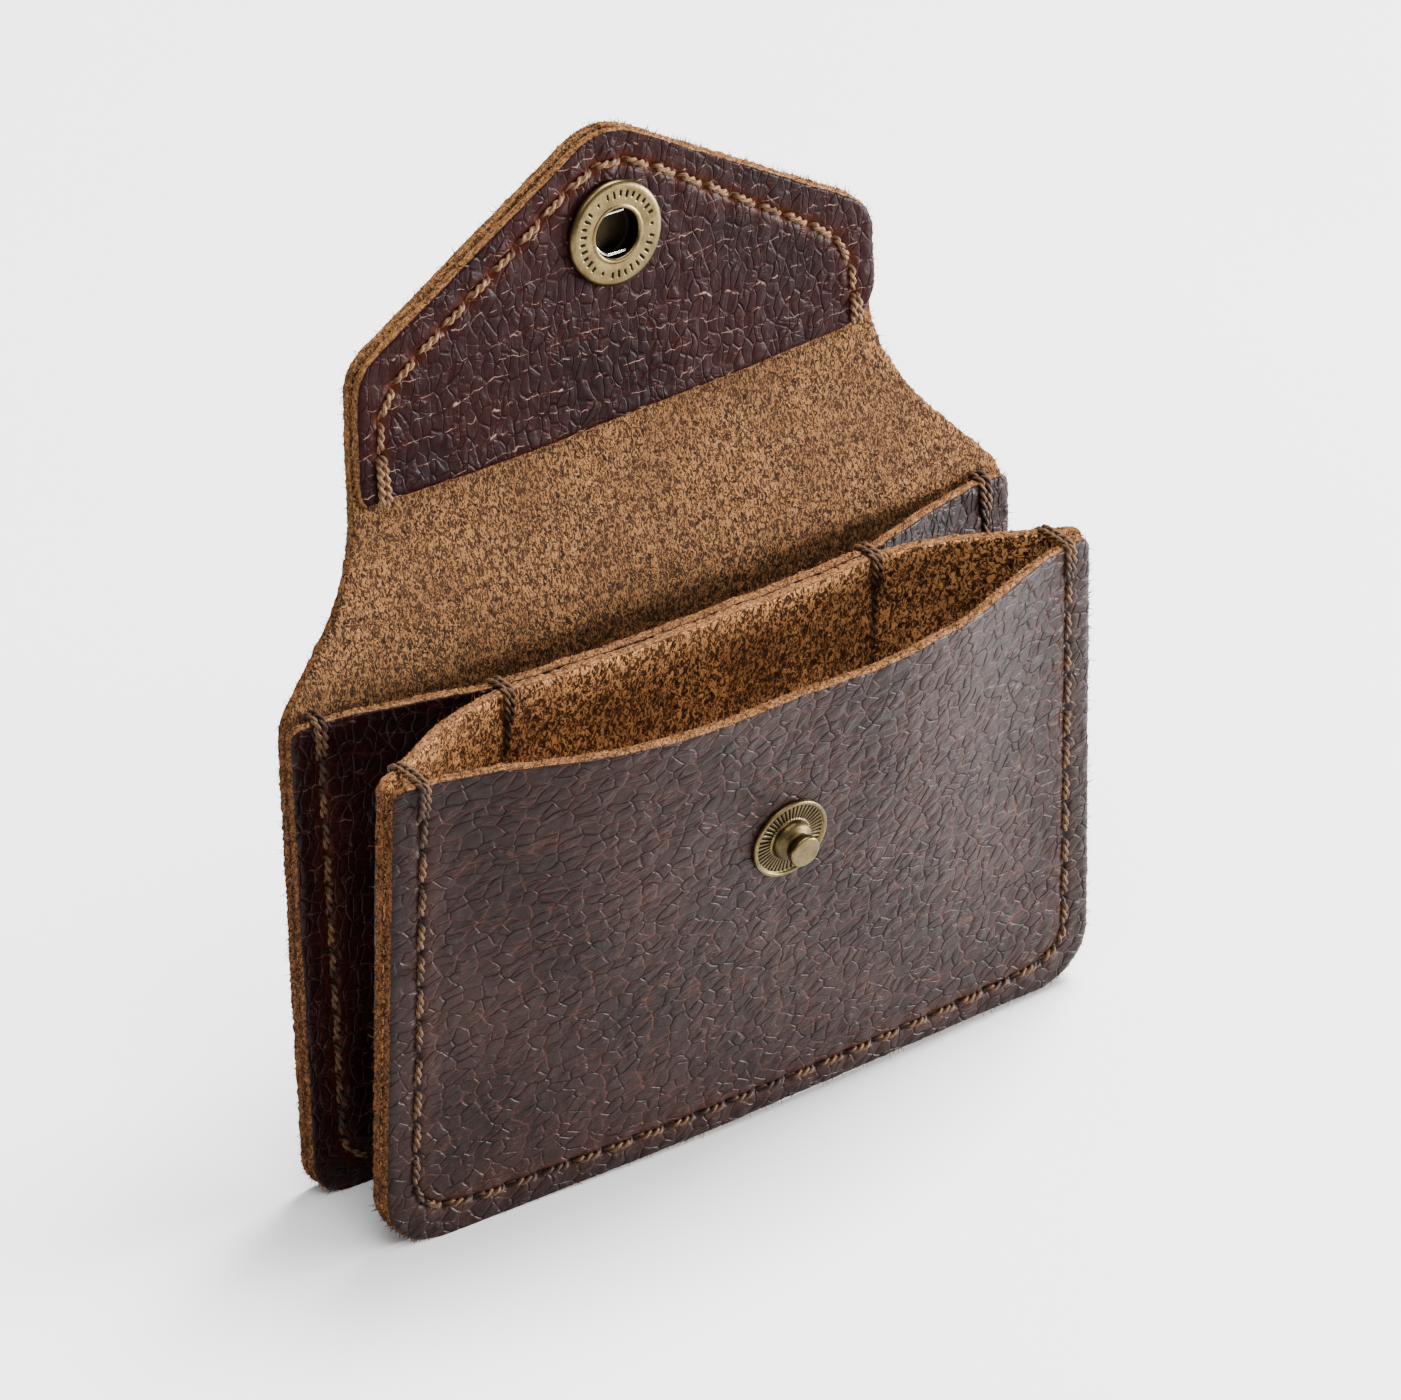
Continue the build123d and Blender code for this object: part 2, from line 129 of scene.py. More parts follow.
class Graph:
    """Short calls for making nodes, in a shader or in geometry nodes."""

    def __init__(self, nt):
        self.nt = nt

    def node(self, kind, inputs=(), **props):
        n = self.nt.nodes.new(kind)
        for k, v in props.items():
            setattr(n, k, v)
        for k, v in dict(inputs).items():
            self.set(n.inputs[k], v)
        return n

    def set(self, socket, value):
        if isinstance(value, bpy.types.NodeSocket):
            self.nt.links.new(value, socket)
        else:
            socket.default_value = value

    def inputs(self, node, **values):
        for name, value in values.items():
            self.set(node.inputs[name.replace("_", " ")], value)

    def math(self, op, a, b=0.0, clamp=False):
        n = self.node("ShaderNodeMath", operation=op, use_clamp=clamp)
        for s, v in zip(n.inputs, (a, b)):
            self.set(s, v)
        return n.outputs[0]

    def mul(self, a, b):
        return self.math("MULTIPLY", a, b)

    def add(self, a, b, clamp=False):
        return self.math("ADD", a, b, clamp=clamp)

    def off_centre(self, a, centre):
        return self.math("ABSOLUTE", self.math("SUBTRACT", a, centre))

    def vector(self, op, a, b):
        n = self.node("ShaderNodeVectorMath", operation=op)
        self.set(n.inputs[0], a)
        self.set(n.inputs[1], b)
        return n.outputs[0]

    def times(self, a, b):
        return self.vector("MULTIPLY", a, b)

    def mix(self, fac, a, b):
        n = self.node("ShaderNodeMix", data_type="RGBA")
        self.set(n.inputs[0], fac)
        for socket, colour in ((n.inputs[6], a), (n.inputs[7], b)):
            self.set(socket, colour if isinstance(colour, bpy.types.NodeSocket) else (*colour, 1))
        return n.outputs[2]

    def ramp(self, fac, low, high, a=0.0, b=1.0):
        n = self.node("ShaderNodeMapRange", interpolation_type="SMOOTHSTEP")
        for k, v in enumerate((fac, low, high, a, b)):
            self.set(n.inputs[k], v)
        return n.outputs[0]

    def noise(self, vec, scale, detail=3.0, rough=0.5, distortion=0.0, colour=False):
        n = self.node(
            "ShaderNodeTexNoise",
            {"Vector": vec, "Scale": scale, "Detail": detail, "Roughness": rough, "Distortion": distortion})
        return n.outputs["Color" if colour else 0]

    def edges(self, vec):
        """Distance to the nearest border between the cells of a Voronoi pattern."""
        return self.node("ShaderNodeTexVoronoi", {"Vector": vec, "Scale": 1.0, "Randomness": 0.9},
                         feature="DISTANCE_TO_EDGE", voronoi_dimensions="2D").outputs["Distance"]

    def flat(self, scale=(1, 1, 1)):
        uv = self.node("ShaderNodeUVMap", uv_map="flat")
        return self.times(uv.outputs[0], tuple(100 * s for s in scale))

    def bump(self, height, strength, distance):
        inputs = {"Height": height, "Strength": strength, "Distance": distance}
        return self.node("ShaderNodeBump", inputs).outputs[0]

    def painted(self, name):
        """The three channels of a colour attribute."""
        sep = self.node("ShaderNodeSeparateColor")
        self.set(sep.inputs[0], self.node("ShaderNodeAttribute", attribute_name=name).outputs["Color"])
        return sep.outputs[0], sep.outputs[1], sep.outputs[2]


def pebbles(g, vec, size, stretch, turn):
    """Grain in flat mm: pebble border distance, its depth, border distance of the finer wrinkles, their depth."""
    warp = g.vector("SUBTRACT", g.noise(vec, 0.42 / size, 2.0, colour=True), (0.5, 0.5, 0.5))
    vec = g.vector("ADD", vec, g.times(warp, (1.3 * size, 1.3 * size, 0)))
    rot = g.node("ShaderNodeVectorRotate", {"Vector": vec, "Angle": turn}, rotation_type="Z_AXIS")
    big = g.times(rot.outputs[0], (1 / (size * stretch), stretch / size, 0))
    depth = g.ramp(g.noise(big, 0.75, 2.0), 0.36, 0.62)
    long = g.vector("ADD", g.times(big, (0.34, 1.25, 0)), (13.7, 5.2, 0))
    fine = g.mul(g.off_centre(g.noise(long, 0.8, 2.0, 0.6), 0.5), 2.6)
    fine_depth = g.ramp(g.noise(g.vector("ADD", big, (3.1, 7.7, 0)), 0.5, 1.0), 0.42, 0.62)
    return g.edges(big), depth, fine, fine_depth


def sample_grain(x, v, size, stretch, turn):
    """The same pattern's values at flat points, read through geometry nodes."""
    mesh = bpy.data.meshes.new("sample")
    mesh.vertices.add(x.size)
    mesh.vertices.foreach_set("co", np.stack([x, v, np.zeros(x.shape)], -1).astype(np.float32).ravel())
    obj = bpy.data.objects.new("sample", mesh)
    bpy.context.scene.collection.objects.link(obj)
    tree = bpy.data.node_groups.new("sample", "GeometryNodeTree")
    for way in ("INPUT", "OUTPUT"):
        tree.interface.new_socket("Geometry", in_out=way, socket_type="NodeSocketGeometry")
    g = Graph(tree)
    geometry = g.node("NodeGroupInput").outputs[0]
    for k, value in enumerate(pebbles(g, g.node("GeometryNodeInputPosition").outputs[0], size, stretch, turn)):
        store = g.node("GeometryNodeStoreNamedAttribute", {"Geometry": geometry, "Name": "v%d" % k, "Value": value})
        geometry = store.outputs[0]
    g.set(g.node("NodeGroupOutput").inputs[0], geometry)
    mod = obj.modifiers.new("sample", "NODES")
    mod.node_group = tree
    done = obj.evaluated_get(bpy.context.evaluated_depsgraph_get()).data
    out = []
    for k in range(4):
        values = np.empty(x.size, np.float32)
        done.attributes["v%d" % k].data.foreach_get("value", values)
        out.append(values.reshape(x.shape).astype(float))
    bpy.data.objects.remove(obj)
    bpy.data.meshes.remove(mesh)
    bpy.data.node_groups.remove(tree)
    return out


def grain(x, v, size, stretch, turn, relief):
    """Height of the grain in mm at flat points."""
    border, depth, fine, fine_depth = sample_grain(x, v, size, stretch, turn)
    pebble = 1 - np.exp(-border / 0.15)
    return relief * (pebble * (0.45 + 0.55 * depth) + 0.25 * fine_depth * (np.minimum(fine / 0.16, 1) - 1))


# ---- where each panel's grain or inner face lies
def pocket_half(z):
    return HALF + (TOP_HALF - HALF) * z / H


def front_face(x, z):
    s = x / pocket_half(z)
    low, top = hermite(FRONT_BOTTOM, s), hermite(FRONT_TOP, s)
    return np.stack([x, low + (top - low) * z / H + SHIFT_Y, z], -1)


def rear_y(x, z):
    return hermite(REAR_TOP, x / HALF) * z / H


def rear_face(x, z):
    return np.stack([x, rear_y(x, z) + SHIFT_Y, z], -1)


def above_seam(x, z, lower, upper):
    """Point of a gusset face that changes from one line to another at the divider seam's lower end."""
    k = smooth(SEAM_Z - 3, SEAM_Z + 3, z)
    return np.stack([x, lower * (1 - k) + upper * k + SHIFT_Y, z], -1)


def gusset_middle_face(x, z):
    top = rear_y(x, z) - STEP - 0.1
    seam = rear_y(x, SEAM_Z) - STEP - 0.1
    low = hermite(FRONT_BOTTOM, x / HALF) + STEP + 0.05
    return above_seam(x, z, low + (seam - low) * z / SEAM_Z, top)


def gusset_wing_face(x, z):
    start, half = SEAM_X + 0.1, pocket_half(z)
    s = np.clip((np.abs(x) - start) / (half - start), 0, 1)
    end_seam = -14.9 + (-15.6 + 14.9) * SEAM_Z / H + STEP
    y_seam = rear_y(start, SEAM_Z) - STEP - 0.1
    share = (hermite(WING_TOP, s) - WING_TOP[0][1]) / (WING_TOP[-1][1] - WING_TOP[0][1])
    low = hermite(FRONT_BOTTOM, (start + s * (HALF - start)) / HALF) + STEP + 0.05
    seam = y_seam + (end_seam - y_seam) * share
    top = hermite(WING_TOP, s) - 0.1 * (1 - s)
    return above_seam(x, z, low + (seam - low) * z / SEAM_Z, seam + (top - seam) * (z - SEAM_Z) / (H - SEAM_Z))


def make_profile():
    """The back leather's centre line from the bottom of the case to the flap's point, by length."""
    u = np.arange(-4.0, 130.0, 0.05)
    base = math.atan(LEAN)
    u1 = FOLD_1 / math.cos(base)
    u2 = u1 + STRIP
    angle = base + (STRIP_LEAN - base) * smooth(u1 - 5, u1 + 5, u)
    angle += (FLAP_LEAN - STRIP_LEAN) * smooth(u2 - 5, u2 + 5, u)
    angle += math.radians(2.6) * (np.exp(-((u - u1 - 12) / 5.0)**2) - np.exp(-((u - u1 - 20) / 4.0)**2))
    y, z = np.cumsum(np.sin(angle)) * 0.05, np.cumsum(np.cos(angle)) * 0.05
    k = np.searchsorted(u, 0.0)
    y, z = y - y[k], z - z[k]
    return u, y + STEP + T / 2 + SHIFT_Y, z, angle, u1, u2


U, PROFILE_Y, PROFILE_Z, PROFILE_A, U1, U2 = make_profile()


def back_sheet(x, u, off=0.0):
    """A point of the back leather's centre line, off mm towards the rear of it."""
    y, z, a = (np.interp(u, U, table) for table in (PROFILE_Y, PROFILE_Z, PROFILE_A))
    return np.stack([x, y + off * np.cos(a), z - off * np.sin(a)], -1)


def inner_face(x, u):
    return back_sheet(x, u, -T / 2)


def facing_face(x, u):
    return back_sheet(x, u, -T * 1.5 - LAYER)


# ---- panels as closed shells
def rows_between(high, corner_low=0.0, corner_high=0.0):
    """Row heights from 0, closer together where a corner turns quickly."""
    low_n, high_n = (max(int(r * 1.6 / STEP_MM), 6) if r else 1 for r in (corner_low, corner_high))
    low = corner_low * (1 - np.cos(np.linspace(0, math.pi / 2, low_n)))
    end = high - corner_high
    middle = np.linspace(low[-1], end, max(int((end - low[-1]) / STEP_MM), 2))[1:]
    return np.concatenate([low, middle, (high - corner_high * (1 - np.sin(np.linspace(0, math.pi / 2, high_n))))[1:]])


def corner_width(v, half, r_low, r_high=0.0):
    """Half width at each height, with the lower and upper corners rounded."""
    w = half + np.zeros(v.shape)
    for r, from_end in ((r_low, v), (r_high, H - v)):
        d = np.clip(r - from_end, 0, r)
        w -= r - np.sqrt(np.maximum(r**2 - d**2, 0))
    return w


def put_mesh(name, verts, faces, mats, which=None, smooth_faces=True):
    mesh = bpy.data.meshes.new(name)
    mesh.from_pydata([tuple(p) for p in np.asarray(verts) * MM], [], faces)
    for m in mats:
        mesh.materials.append(m)
    if which is not None:
        mesh.polygons.foreach_set("material_index", np.asarray(which, np.int32))
    mesh.polygons.foreach_set("use_smooth", np.full(len(mesh.polygons), smooth_faces))
    obj = bpy.data.objects.new(name, mesh)
    bpy.context.scene.collection.objects.link(obj)
    return obj


def set_uv(mesh, uv):
    mesh.uv_layers.new(name="flat").data.foreach_set("uv", (uv / 100).astype(np.float32).ravel())


def set_colour(mesh, name, col):
    mesh.attributes.new(name, "FLOAT_COLOR", "POINT").data.foreach_set("color", col.astype(np.float32).ravel())


def rear_normal(place, x, v, e=0.05):
    """Unit normal towards the rear of the surface that place() draws."""
    n = unit(np.cross(place(x + e, v) - place(x - e, v), place(x, v + e) - place(x, v - e)))
    return np.where(n[..., 1:2] < 0, -n, n)


def seam_field(seams, x, v):
    """Distance to the nearest needle hole and to the nearest seam line, and the place along its stitch."""
    hole, line, along = (np.full(x.shape, 99.0) for _ in range(3))
    for seam in seams:
        for (ax, av), (bx, bv) in zip(seam, seam[1:]):
            dx, dv = bx - ax, bv - av
            t = np.clip(((x - ax) * dx + (v - av) * dv) / (dx * dx + dv * dv), 0, 1)
            d = np.hypot(x - ax - t * dx, v - av - t * dv)
            along = np.where(d < line, t, along)
            line = np.minimum(line, d)
        for hx, hv in seam:
            hole = np.minimum(hole, np.hypot(x - hx, v - hv))
    return hole, line, along


def fibres(ring_a, ring_b, out, count, seed):
    """Four corners for each of the short loose fibres that stand out of a cut edge, as thin closed cones."""
    rng = np.random.default_rng(seed)
    gap = np.linalg.norm(np.roll(ring_a, -1, 0) - ring_a, axis=1)
    i = rng.choice(len(ring_a), count, p=gap / gap.sum())
    base = ring_a[i] + (ring_b[i] - ring_a[i]) * rng.uniform(0.05, 0.95, (count, 1))
    tangent = unit(ring_a[(i + 1) % len(ring_a)] - ring_a[i])
    across = unit(ring_b[i] - ring_a[i])
    way = out[i] * rng.uniform(0.35, 1, (count, 1)) + tangent * rng.normal(0, 0.7, (count, 1))
    way = unit(way + across * rng.normal(0, 0.45, (count, 1)))
    size = 1.36 * rng.uniform(0.35, 1, (count, 1)) ** 2 + 0.12
    side = unit(np.cross(way, rng.normal(0, 1, (count, 3))))
    up = np.cross(way, side)
    foot = [base - way * 0.1 + 0.075 * (math.cos(k) * side + math.sin(k) * up) for k in (0, 2.1, 4.2)]
    return np.stack(foot + [base + way * size + side * size * rng.normal(0, 0.25, (count, 1))], 1)


CONE = ((0, 1, 3), (1, 2, 3), (2, 0, 3), (0, 2, 1))
# rings round a cut edge: share of the thickness, and bulge in mm
EDGE_RINGS = ((0.12, 0.10), (0.34, 0.15), (0.55, 0.14), (0.76, 0.15), (0.92, 0.09))
FLOOR_GAP = 0.02


def shell(name, x, v, place, mats, grain_at, pattern, relief, seams, seed, fuzz, joined=None, pit=None,
          painted_shade_border=False):
    """Closed leather panel over a grid of flat places; place(x, v) draws its front face.
    grain_at is the side with the grain, the other is suede; joined is a border that butts on another panel."""
    ny, nx = x.shape
    n = rear_normal(place, x, v)
    hole, line, along = seam_field(seams, x, v)
    pull = 0.24 * np.exp(-(line / 0.7)**2) + 0.45 * np.exp(-(hole / 0.5)**2)
    pucker = 0.09 * np.cos(2 * math.pi * along) * np.exp(-((line - 1.6) / 1.3)**2)
    h = grain(x, v, *pattern, relief) * (1 - 0.6 * np.exp(-(line / 0.8)**2)) - pull - pucker
    h += 0.16 * (fractal(x / 9, v / 9, seed + 5, 2) - 0.5)
    nap = 0.07 * (hash01(np.arange(x.size).reshape(x.shape), np.zeros(x.shape, int), seed) - 0.5)
    nap += 0.16 * (fractal(x * 1.3, v * 1.3, seed + 6, 2) - 0.5) - 0.6 * pull
    to_side, to_end = (np.minimum(np.arange(m), m - 1 - np.arange(m)) for m in (nx, ny))
    round_off = 0.16 * np.exp(-(np.minimum(to_side[None, :], to_end[:, None]) / 1.1)**2)
    if joined:
        from_join = np.abs(v - (v.max() if joined == "high" else v.min()))
        round_off = np.where(from_join < 5, 0.16 * np.exp(-(to_side / 1.1)**2), round_off)
        nap *= smooth(0, 2.0, from_join)
        h *= smooth(0, 0.8, from_join)
    h_front, h_rear = (h, nap) if grain_at == "front" else (nap, h)
    if pit is not None:
        px, pv, radius, depth = pit
        h_front = np.where(np.hypot(x - px, v - pv) < radius, -depth, h_front)
    centre = place(x, v)
    front = (centre - n * (h_front - round_off)[..., None]).reshape(-1, 3)
    rear = (centre + n * (T + h_rear - round_off)[..., None]).reshape(-1, 3)

    # the cut edge, which wanders a little and bulges, with grit in it
    idx = np.arange(ny * nx).reshape(ny, nx)
    loop = np.concatenate([idx[0, :-1], idx[:-1, -1], idx[-1, :0:-1], idx[:0:-1, 0]])
    size = len(loop)
    sides = np.repeat([0, 1, 2, 3], [nx - 1, ny - 1, nx - 1, ny - 1])
    plain = {"low": 0, "high": 2}.get(joined, -1)
    is_plain = (sides == plain) | np.roll(sides == plain, 1)
    edge = centre.reshape(-1, 3)[loop]
    ahead = np.roll(edge, -1, 0)
    crowd = np.minimum(1, np.linalg.norm(ahead - edge, axis=1) / 0.2)
    out = unit(np.cross(n.reshape(-1, 3)[loop], ahead - np.roll(edge, 1, 0)))
    run = lengths(edge)
    wander = 0.2 * (fractal(run / 1.6, run * 0 + 3, seed + 90, 3) - 0.5)
    wander = np.where(is_plain, 0, wander)[:, None] * out
    front[loop] += wander
    rear[loop] += wander
    verts = [front, rear]
    for k, (share, bulge) in enumerate(EDGE_RINGS):
        grit = 0.34 * (hash01(np.arange(size), np.full(size, k), seed + 70) - 0.5)
        bulge = np.where(is_plain, 0, bulge + grit * crowd)
        verts.append(front[loop] + (rear[loop] - front[loop]) * share + out * bulge[:, None])
    rings = [loop, *(2 * ny * nx + k * size + np.arange(size) for k in range(len(EDGE_RINGS))), loop + ny * nx]
    quads = np.stack([idx[:-1, :-1], idx[:-1, 1:], idx[1:, 1:], idx[1:, :-1]], -1).reshape(-1, 4)
    faces = [quads, quads[:, ::-1] + ny * nx]
    which = [np.full(len(quads), int(grain_at != "front")), np.full(len(quads), int(grain_at == "front"))]
    for a, b in zip(rings, rings[1:]):
        faces.append(np.stack([a, b, np.roll(b, -1), np.roll(a, -1)], -1))
        which.append(np.where(sides == plain, 1, np.where(sides == 2, 2, 3)))
    verts, faces, which = np.concatenate(verts), np.concatenate(faces).tolist(), np.concatenate(which)
    loose = fibres(verts[loop], verts[loop + ny * nx], out, fuzz * (2), seed + 200)
    if joined:
        loose = loose[np.abs(loose[:, 0] - centre[0 if joined == "low" else -1].mean(0))[:, 2] > 2]
    first = np.arange(len(loose))[:, None] * 4 + len(verts)
    cones = [f for tri in CONE for f in (first + np.array(tri)).tolist()]
    verts = np.concatenate([verts, loose.reshape(-1, 3)])
    verts[:, 2] = np.maximum(verts[:, 2], FLOOR_GAP)
    obj = put_mesh(name, verts, faces + cones, mats, np.concatenate([which, np.full(len(cones), 3)]))
    mesh = obj.data
    if joined:
        ends = np.empty(len(mesh.edges) * 2, np.int32)
        mesh.edges.foreach_get("vertices", ends)
        ends = ends.reshape(-1, 2)
        rim = np.isin(ends % (ny * nx), loop[is_plain]) & (ends < 2 * ny * nx)
        mesh.attributes.new("sharp_edge", "BOOLEAN", "EDGE").data.foreach_set("value", rim.all(1))

    both = np.tile(np.stack([x.ravel(), v.ravel()], -1), (2, 1))
    uv = [both[np.array(faces[:2 * len(quads)]).ravel()]]
    step = np.append(run, run[-1] + 0.3)
    levels = [0.0, *[share * T for share, bulge in EDGE_RINGS], T]
    for low, high in zip(levels, levels[1:]):
        corners = ((step[:-1], low), (step[:-1], high), (step[1:], high), (step[1:], low))
        uv.append(np.stack([np.stack(np.broadcast_arrays(*c), -1) for c in corners], 1).reshape(-1, 2))
    rest = np.arange(3 * len(cones))
    set_uv(mesh, np.concatenate([*uv, np.stack([rest * 0.37 % 50, rest * 0.11 % T], -1)]))
    col = np.zeros((len(verts), 4))
    stain = np.clip(np.exp(-(hole / 0.8)**2) + 0.55 * np.exp(-(line / 0.6)**2), 0, 1)
    shade = np.zeros(x.shape)
    # painted shade: a darker band outside the seam along the sides and bottom of the front, where the border curves
    # away
    if painted_shade_border:
        inward = np.minimum(x - x.min(1)[:, None], x.max(1)[:, None] - x)
        shade = 0.35 * (1 - smooth(2.4, 4.6, np.minimum(inward, v + 0.3))) * (1 - smooth(52, 64, v) * 0.3)
    for k, field in enumerate((stain, np.exp(-(line / 1.6)**2), shade)):
        col[:ny * nx, k] = col[ny * nx:2 * ny * nx, k] = field.ravel()
    set_colour(mesh, "leather", col)
    return obj


# ---- thread
def across(p, ref):
    """Two directions across a path at each of its points, the first at right angles to ref."""
    t = unit(np.gradient(p, axis=0))
    side = unit(np.cross(t, np.broadcast_to(ref, p.shape)))
    return side, np.cross(side, t)


def tube(c, side, up, radius, sides, first=0):
    """Points and faces of a closed round tube along c; first is its first point's number."""
    ring = np.arange(sides)
    theta = 2 * math.pi * ring[None, :, None] / sides
    pts = c[:, None] + radius * (np.cos(theta) * side[:, None] + np.sin(theta) * up[:, None])
    row = np.arange(len(c) - 1)[:, None] * sides + first
    k, k2 = row + ring, row + (ring + 1) % sides
    faces = np.stack([k, k2, k2 + sides, k + sides], -1).reshape(-1, 4).tolist()
    ends = [(first + ring)[::-1].tolist(), (first + (len(c) - 1) * sides + ring).tolist()]
    return pts.reshape(-1, 3), faces + ends


THREAD_R, THREAD_TURN, THREAD_SIDES = 0.27, 2.4, 6


def cords(paths):
    """Two-ply twisted thread along each path; a path is (points, reference direction)."""
    verts, faces, uvs, lift, count = [], [], [], [], 0
    for number, (p, ref) in enumerate(paths):
        side, up = across(p, ref)
        s = lengths(p)
        for ply in (0, math.pi):
            phi = (2 * math.pi * s / THREAD_TURN + ply + number * 0.7)[:, None]
            c = p + 0.86 * THREAD_R * (np.cos(phi) * side + np.sin(phi) * up)
            pts, ring_faces = tube(c, side, up, THREAD_R, THREAD_SIDES, count)
            verts.append(pts)
            faces += ring_faces
            u, u2 = (np.repeat(part, THREAD_SIDES) + number * 3.7 for part in (s[:-1], s[1:]))
            w = np.tile(np.arange(THREAD_SIDES) * 0.25, len(p) - 1)
            uvs.append(np.stack([u, w, u, w + 0.25, u2, w + 0.25, u2, w], -1).reshape(-1, 2))
            uvs.append(np.zeros((2 * THREAD_SIDES, 2)))
            # lift is 1 at the middle of each stitch and 0 at its ends; the thread material paints shade on the ends
            # with it
            lift.append(np.repeat(np.sin(math.pi * np.linspace(0, 1, len(p)))**2, THREAD_SIDES))
            count += len(pts)
    return np.concatenate(verts), faces, np.concatenate(uvs), np.concatenate(lift)


def thread_piece(name, paths, mat, body, *nodes):
    verts, faces, uv, lift = cords(paths)
    obj = put_mesh(name, verts, faces, [mat])
    set_colour(obj.data, "leather", np.repeat(lift[:, None], 4, 1))
    set_uv(obj.data, uv)
    if body:
        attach(obj, body)
    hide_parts(*nodes)
    return obj


def stitches(seam, place, seed, rear=False, slant=0.10):
    """One path for each stitch between two needle holes, dipping into both."""
    rng = np.random.default_rng(seed)
    t = np.linspace(0, 1, 17)
    dip = smooth(0, 0.24, np.minimum(t, 1 - t))
    paths = []
    for (ax, av), (bx, bv) in zip(seam, seam[1:]):
        length = math.hypot(bx - ax, bv - av)
        ux, uv = (bx - ax) / length, (bv - av) / length
        lean = slant * (1 - 2 * t) + rng.normal(0, 0.03)
        x = ax + (bx - ax) * (0.05 + 0.9 * t) - uv * lean
        v = av + (bv - av) * (0.05 + 0.9 * t) + ux * lean
        n = rear_normal(place, x, v)
        off = 0.05 + rng.normal(0, 0.02) - 0.95 * (1 - dip)
        p = place(x, v) + n * ((T + off) if rear else -off)[:, None]
        paths.append((p, n))
    return paths


def cut_corners(points, keep, rounds):
    p = np.array(points, float)
    for _ in range(rounds):
        a, b = keep * p[:-1] + (1 - keep) * p[1:], (1 - keep) * p[:-1] + keep * p[1:]
        p = np.concatenate([p[:1], np.stack([a, b], 1).reshape(-1, p.shape[1]), p[-1:]])
    return p


def evenly(p, n):
    """n evenly spaced points along a path."""
    s = lengths(p)
    u = np.linspace(0, s[-1], n)
    return np.stack([np.interp(u, s, column) for column in p.T], -1)


def chain(points, n=34):
    """Smooth evenly stepped path through a few corner points."""
    return evenly(cut_corners(points, 0.75, 3), n)


def wraps(corners):
    """Doubled thread over an edge: two turns lying beside each other."""
    paths = []
    for shift, lean in ((-0.44, -0.16), (0.44, 0.10)):
        p = chain(corners)
        p[:, 0] += shift + lean * np.linspace(-1, 1, len(p))
        paths.append((p, np.array([1.0, 0.02, 0.01])))
    return paths


def first_corners(place, x):
    """A wrap's way out of the top needle hole and up the face, and the point of the edge that it goes over."""
    hole, edge = spot(place, x, HOLE_TOP), spot(place, x, H)
    return [hole + (0, 0.8, -0.2), hole + (0, -0.28, 0.3), edge + (0, -0.34, -0.6)], edge


# ---- turned metal
def turned(name, profile, centre, axis, mat, segments=96, carve=None, dim=lambda r, h: 0.0):
    """Solid of revolution from (radius, height) corners, pole to pole; carve cuts its face and dim darkens it."""
    profile = [p for k, p in enumerate(profile) if p[0] > 0.01 or k in (0, len(profile) - 1)]
    axis = unit(np.array(axis, float))
    side = unit(np.cross(axis, (1.0, 0, 0)))
    up = np.cross(side, axis)
    ang = np.linspace(0, 2 * math.pi, segments, endpoint=False)
    spokes = np.outer(np.cos(ang), up) + np.outer(np.sin(ang), side)
    verts, faces, dark = [centre + axis * profile[0][1]], [], [dim(0, profile[0][1])]
    for r, h in profile[1:-1]:
        cut = carve(r, h, ang) if carve else np.zeros(segments)
        verts.extend(centre + r * spokes + np.outer(h - cut, axis))
        dark.extend(np.maximum(cut / 0.12, dim(r, h)))
    verts.append(centre + axis * profile[-1][1])
    dark.append(dim(0, profile[-1][1]))
    k = np.arange(segments)
    nxt = (k + 1) % segments
    faces += np.stack([np.zeros(segments, int), 1 + nxt, 1 + k], -1).tolist()
    for a in range(1, 1 + (len(profile) - 3) * segments, segments):
        faces += np.stack([a + k, a + nxt, a + segments + nxt, a + segments + k], -1).tolist()
    a = 1 + (len(profile) - 3) * segments
    faces += np.stack([a + k, a + nxt, np.full(segments, len(verts) - 1)], -1).tolist()
    obj = put_mesh(name, np.array(verts), faces, [mat])
    col = np.zeros((len(verts), 4))
    col[:, 0] = np.clip(dark, 0, 1)
    set_colour(obj.data, "recess", col)
    return obj


def arc_profile(points):
    """Rounds a profile's corners by cutting them twice."""
    p = cut_corners(points, 0.8, 2)
    p[0, 0] = p[-1, 0] = 0.0
    return [tuple(q) for q in p]


# ---- materials
def new_material(name):
    mat = bpy.data.materials.new(name)
    mat.use_nodes = True
    nt = mat.node_tree
    nt.nodes.clear()
    out = nt.nodes.new("ShaderNodeOutputMaterial")
    bsdf = nt.nodes.new("ShaderNodeBsdfPrincipled")
    nt.links.new(bsdf.outputs[0], out.inputs[0])
    return mat, Graph(nt), bsdf


FRONT_GRAIN = (1.90, 1.22, -0.16)
FLAP_GRAIN = (1.95, 0.74, 0.12)


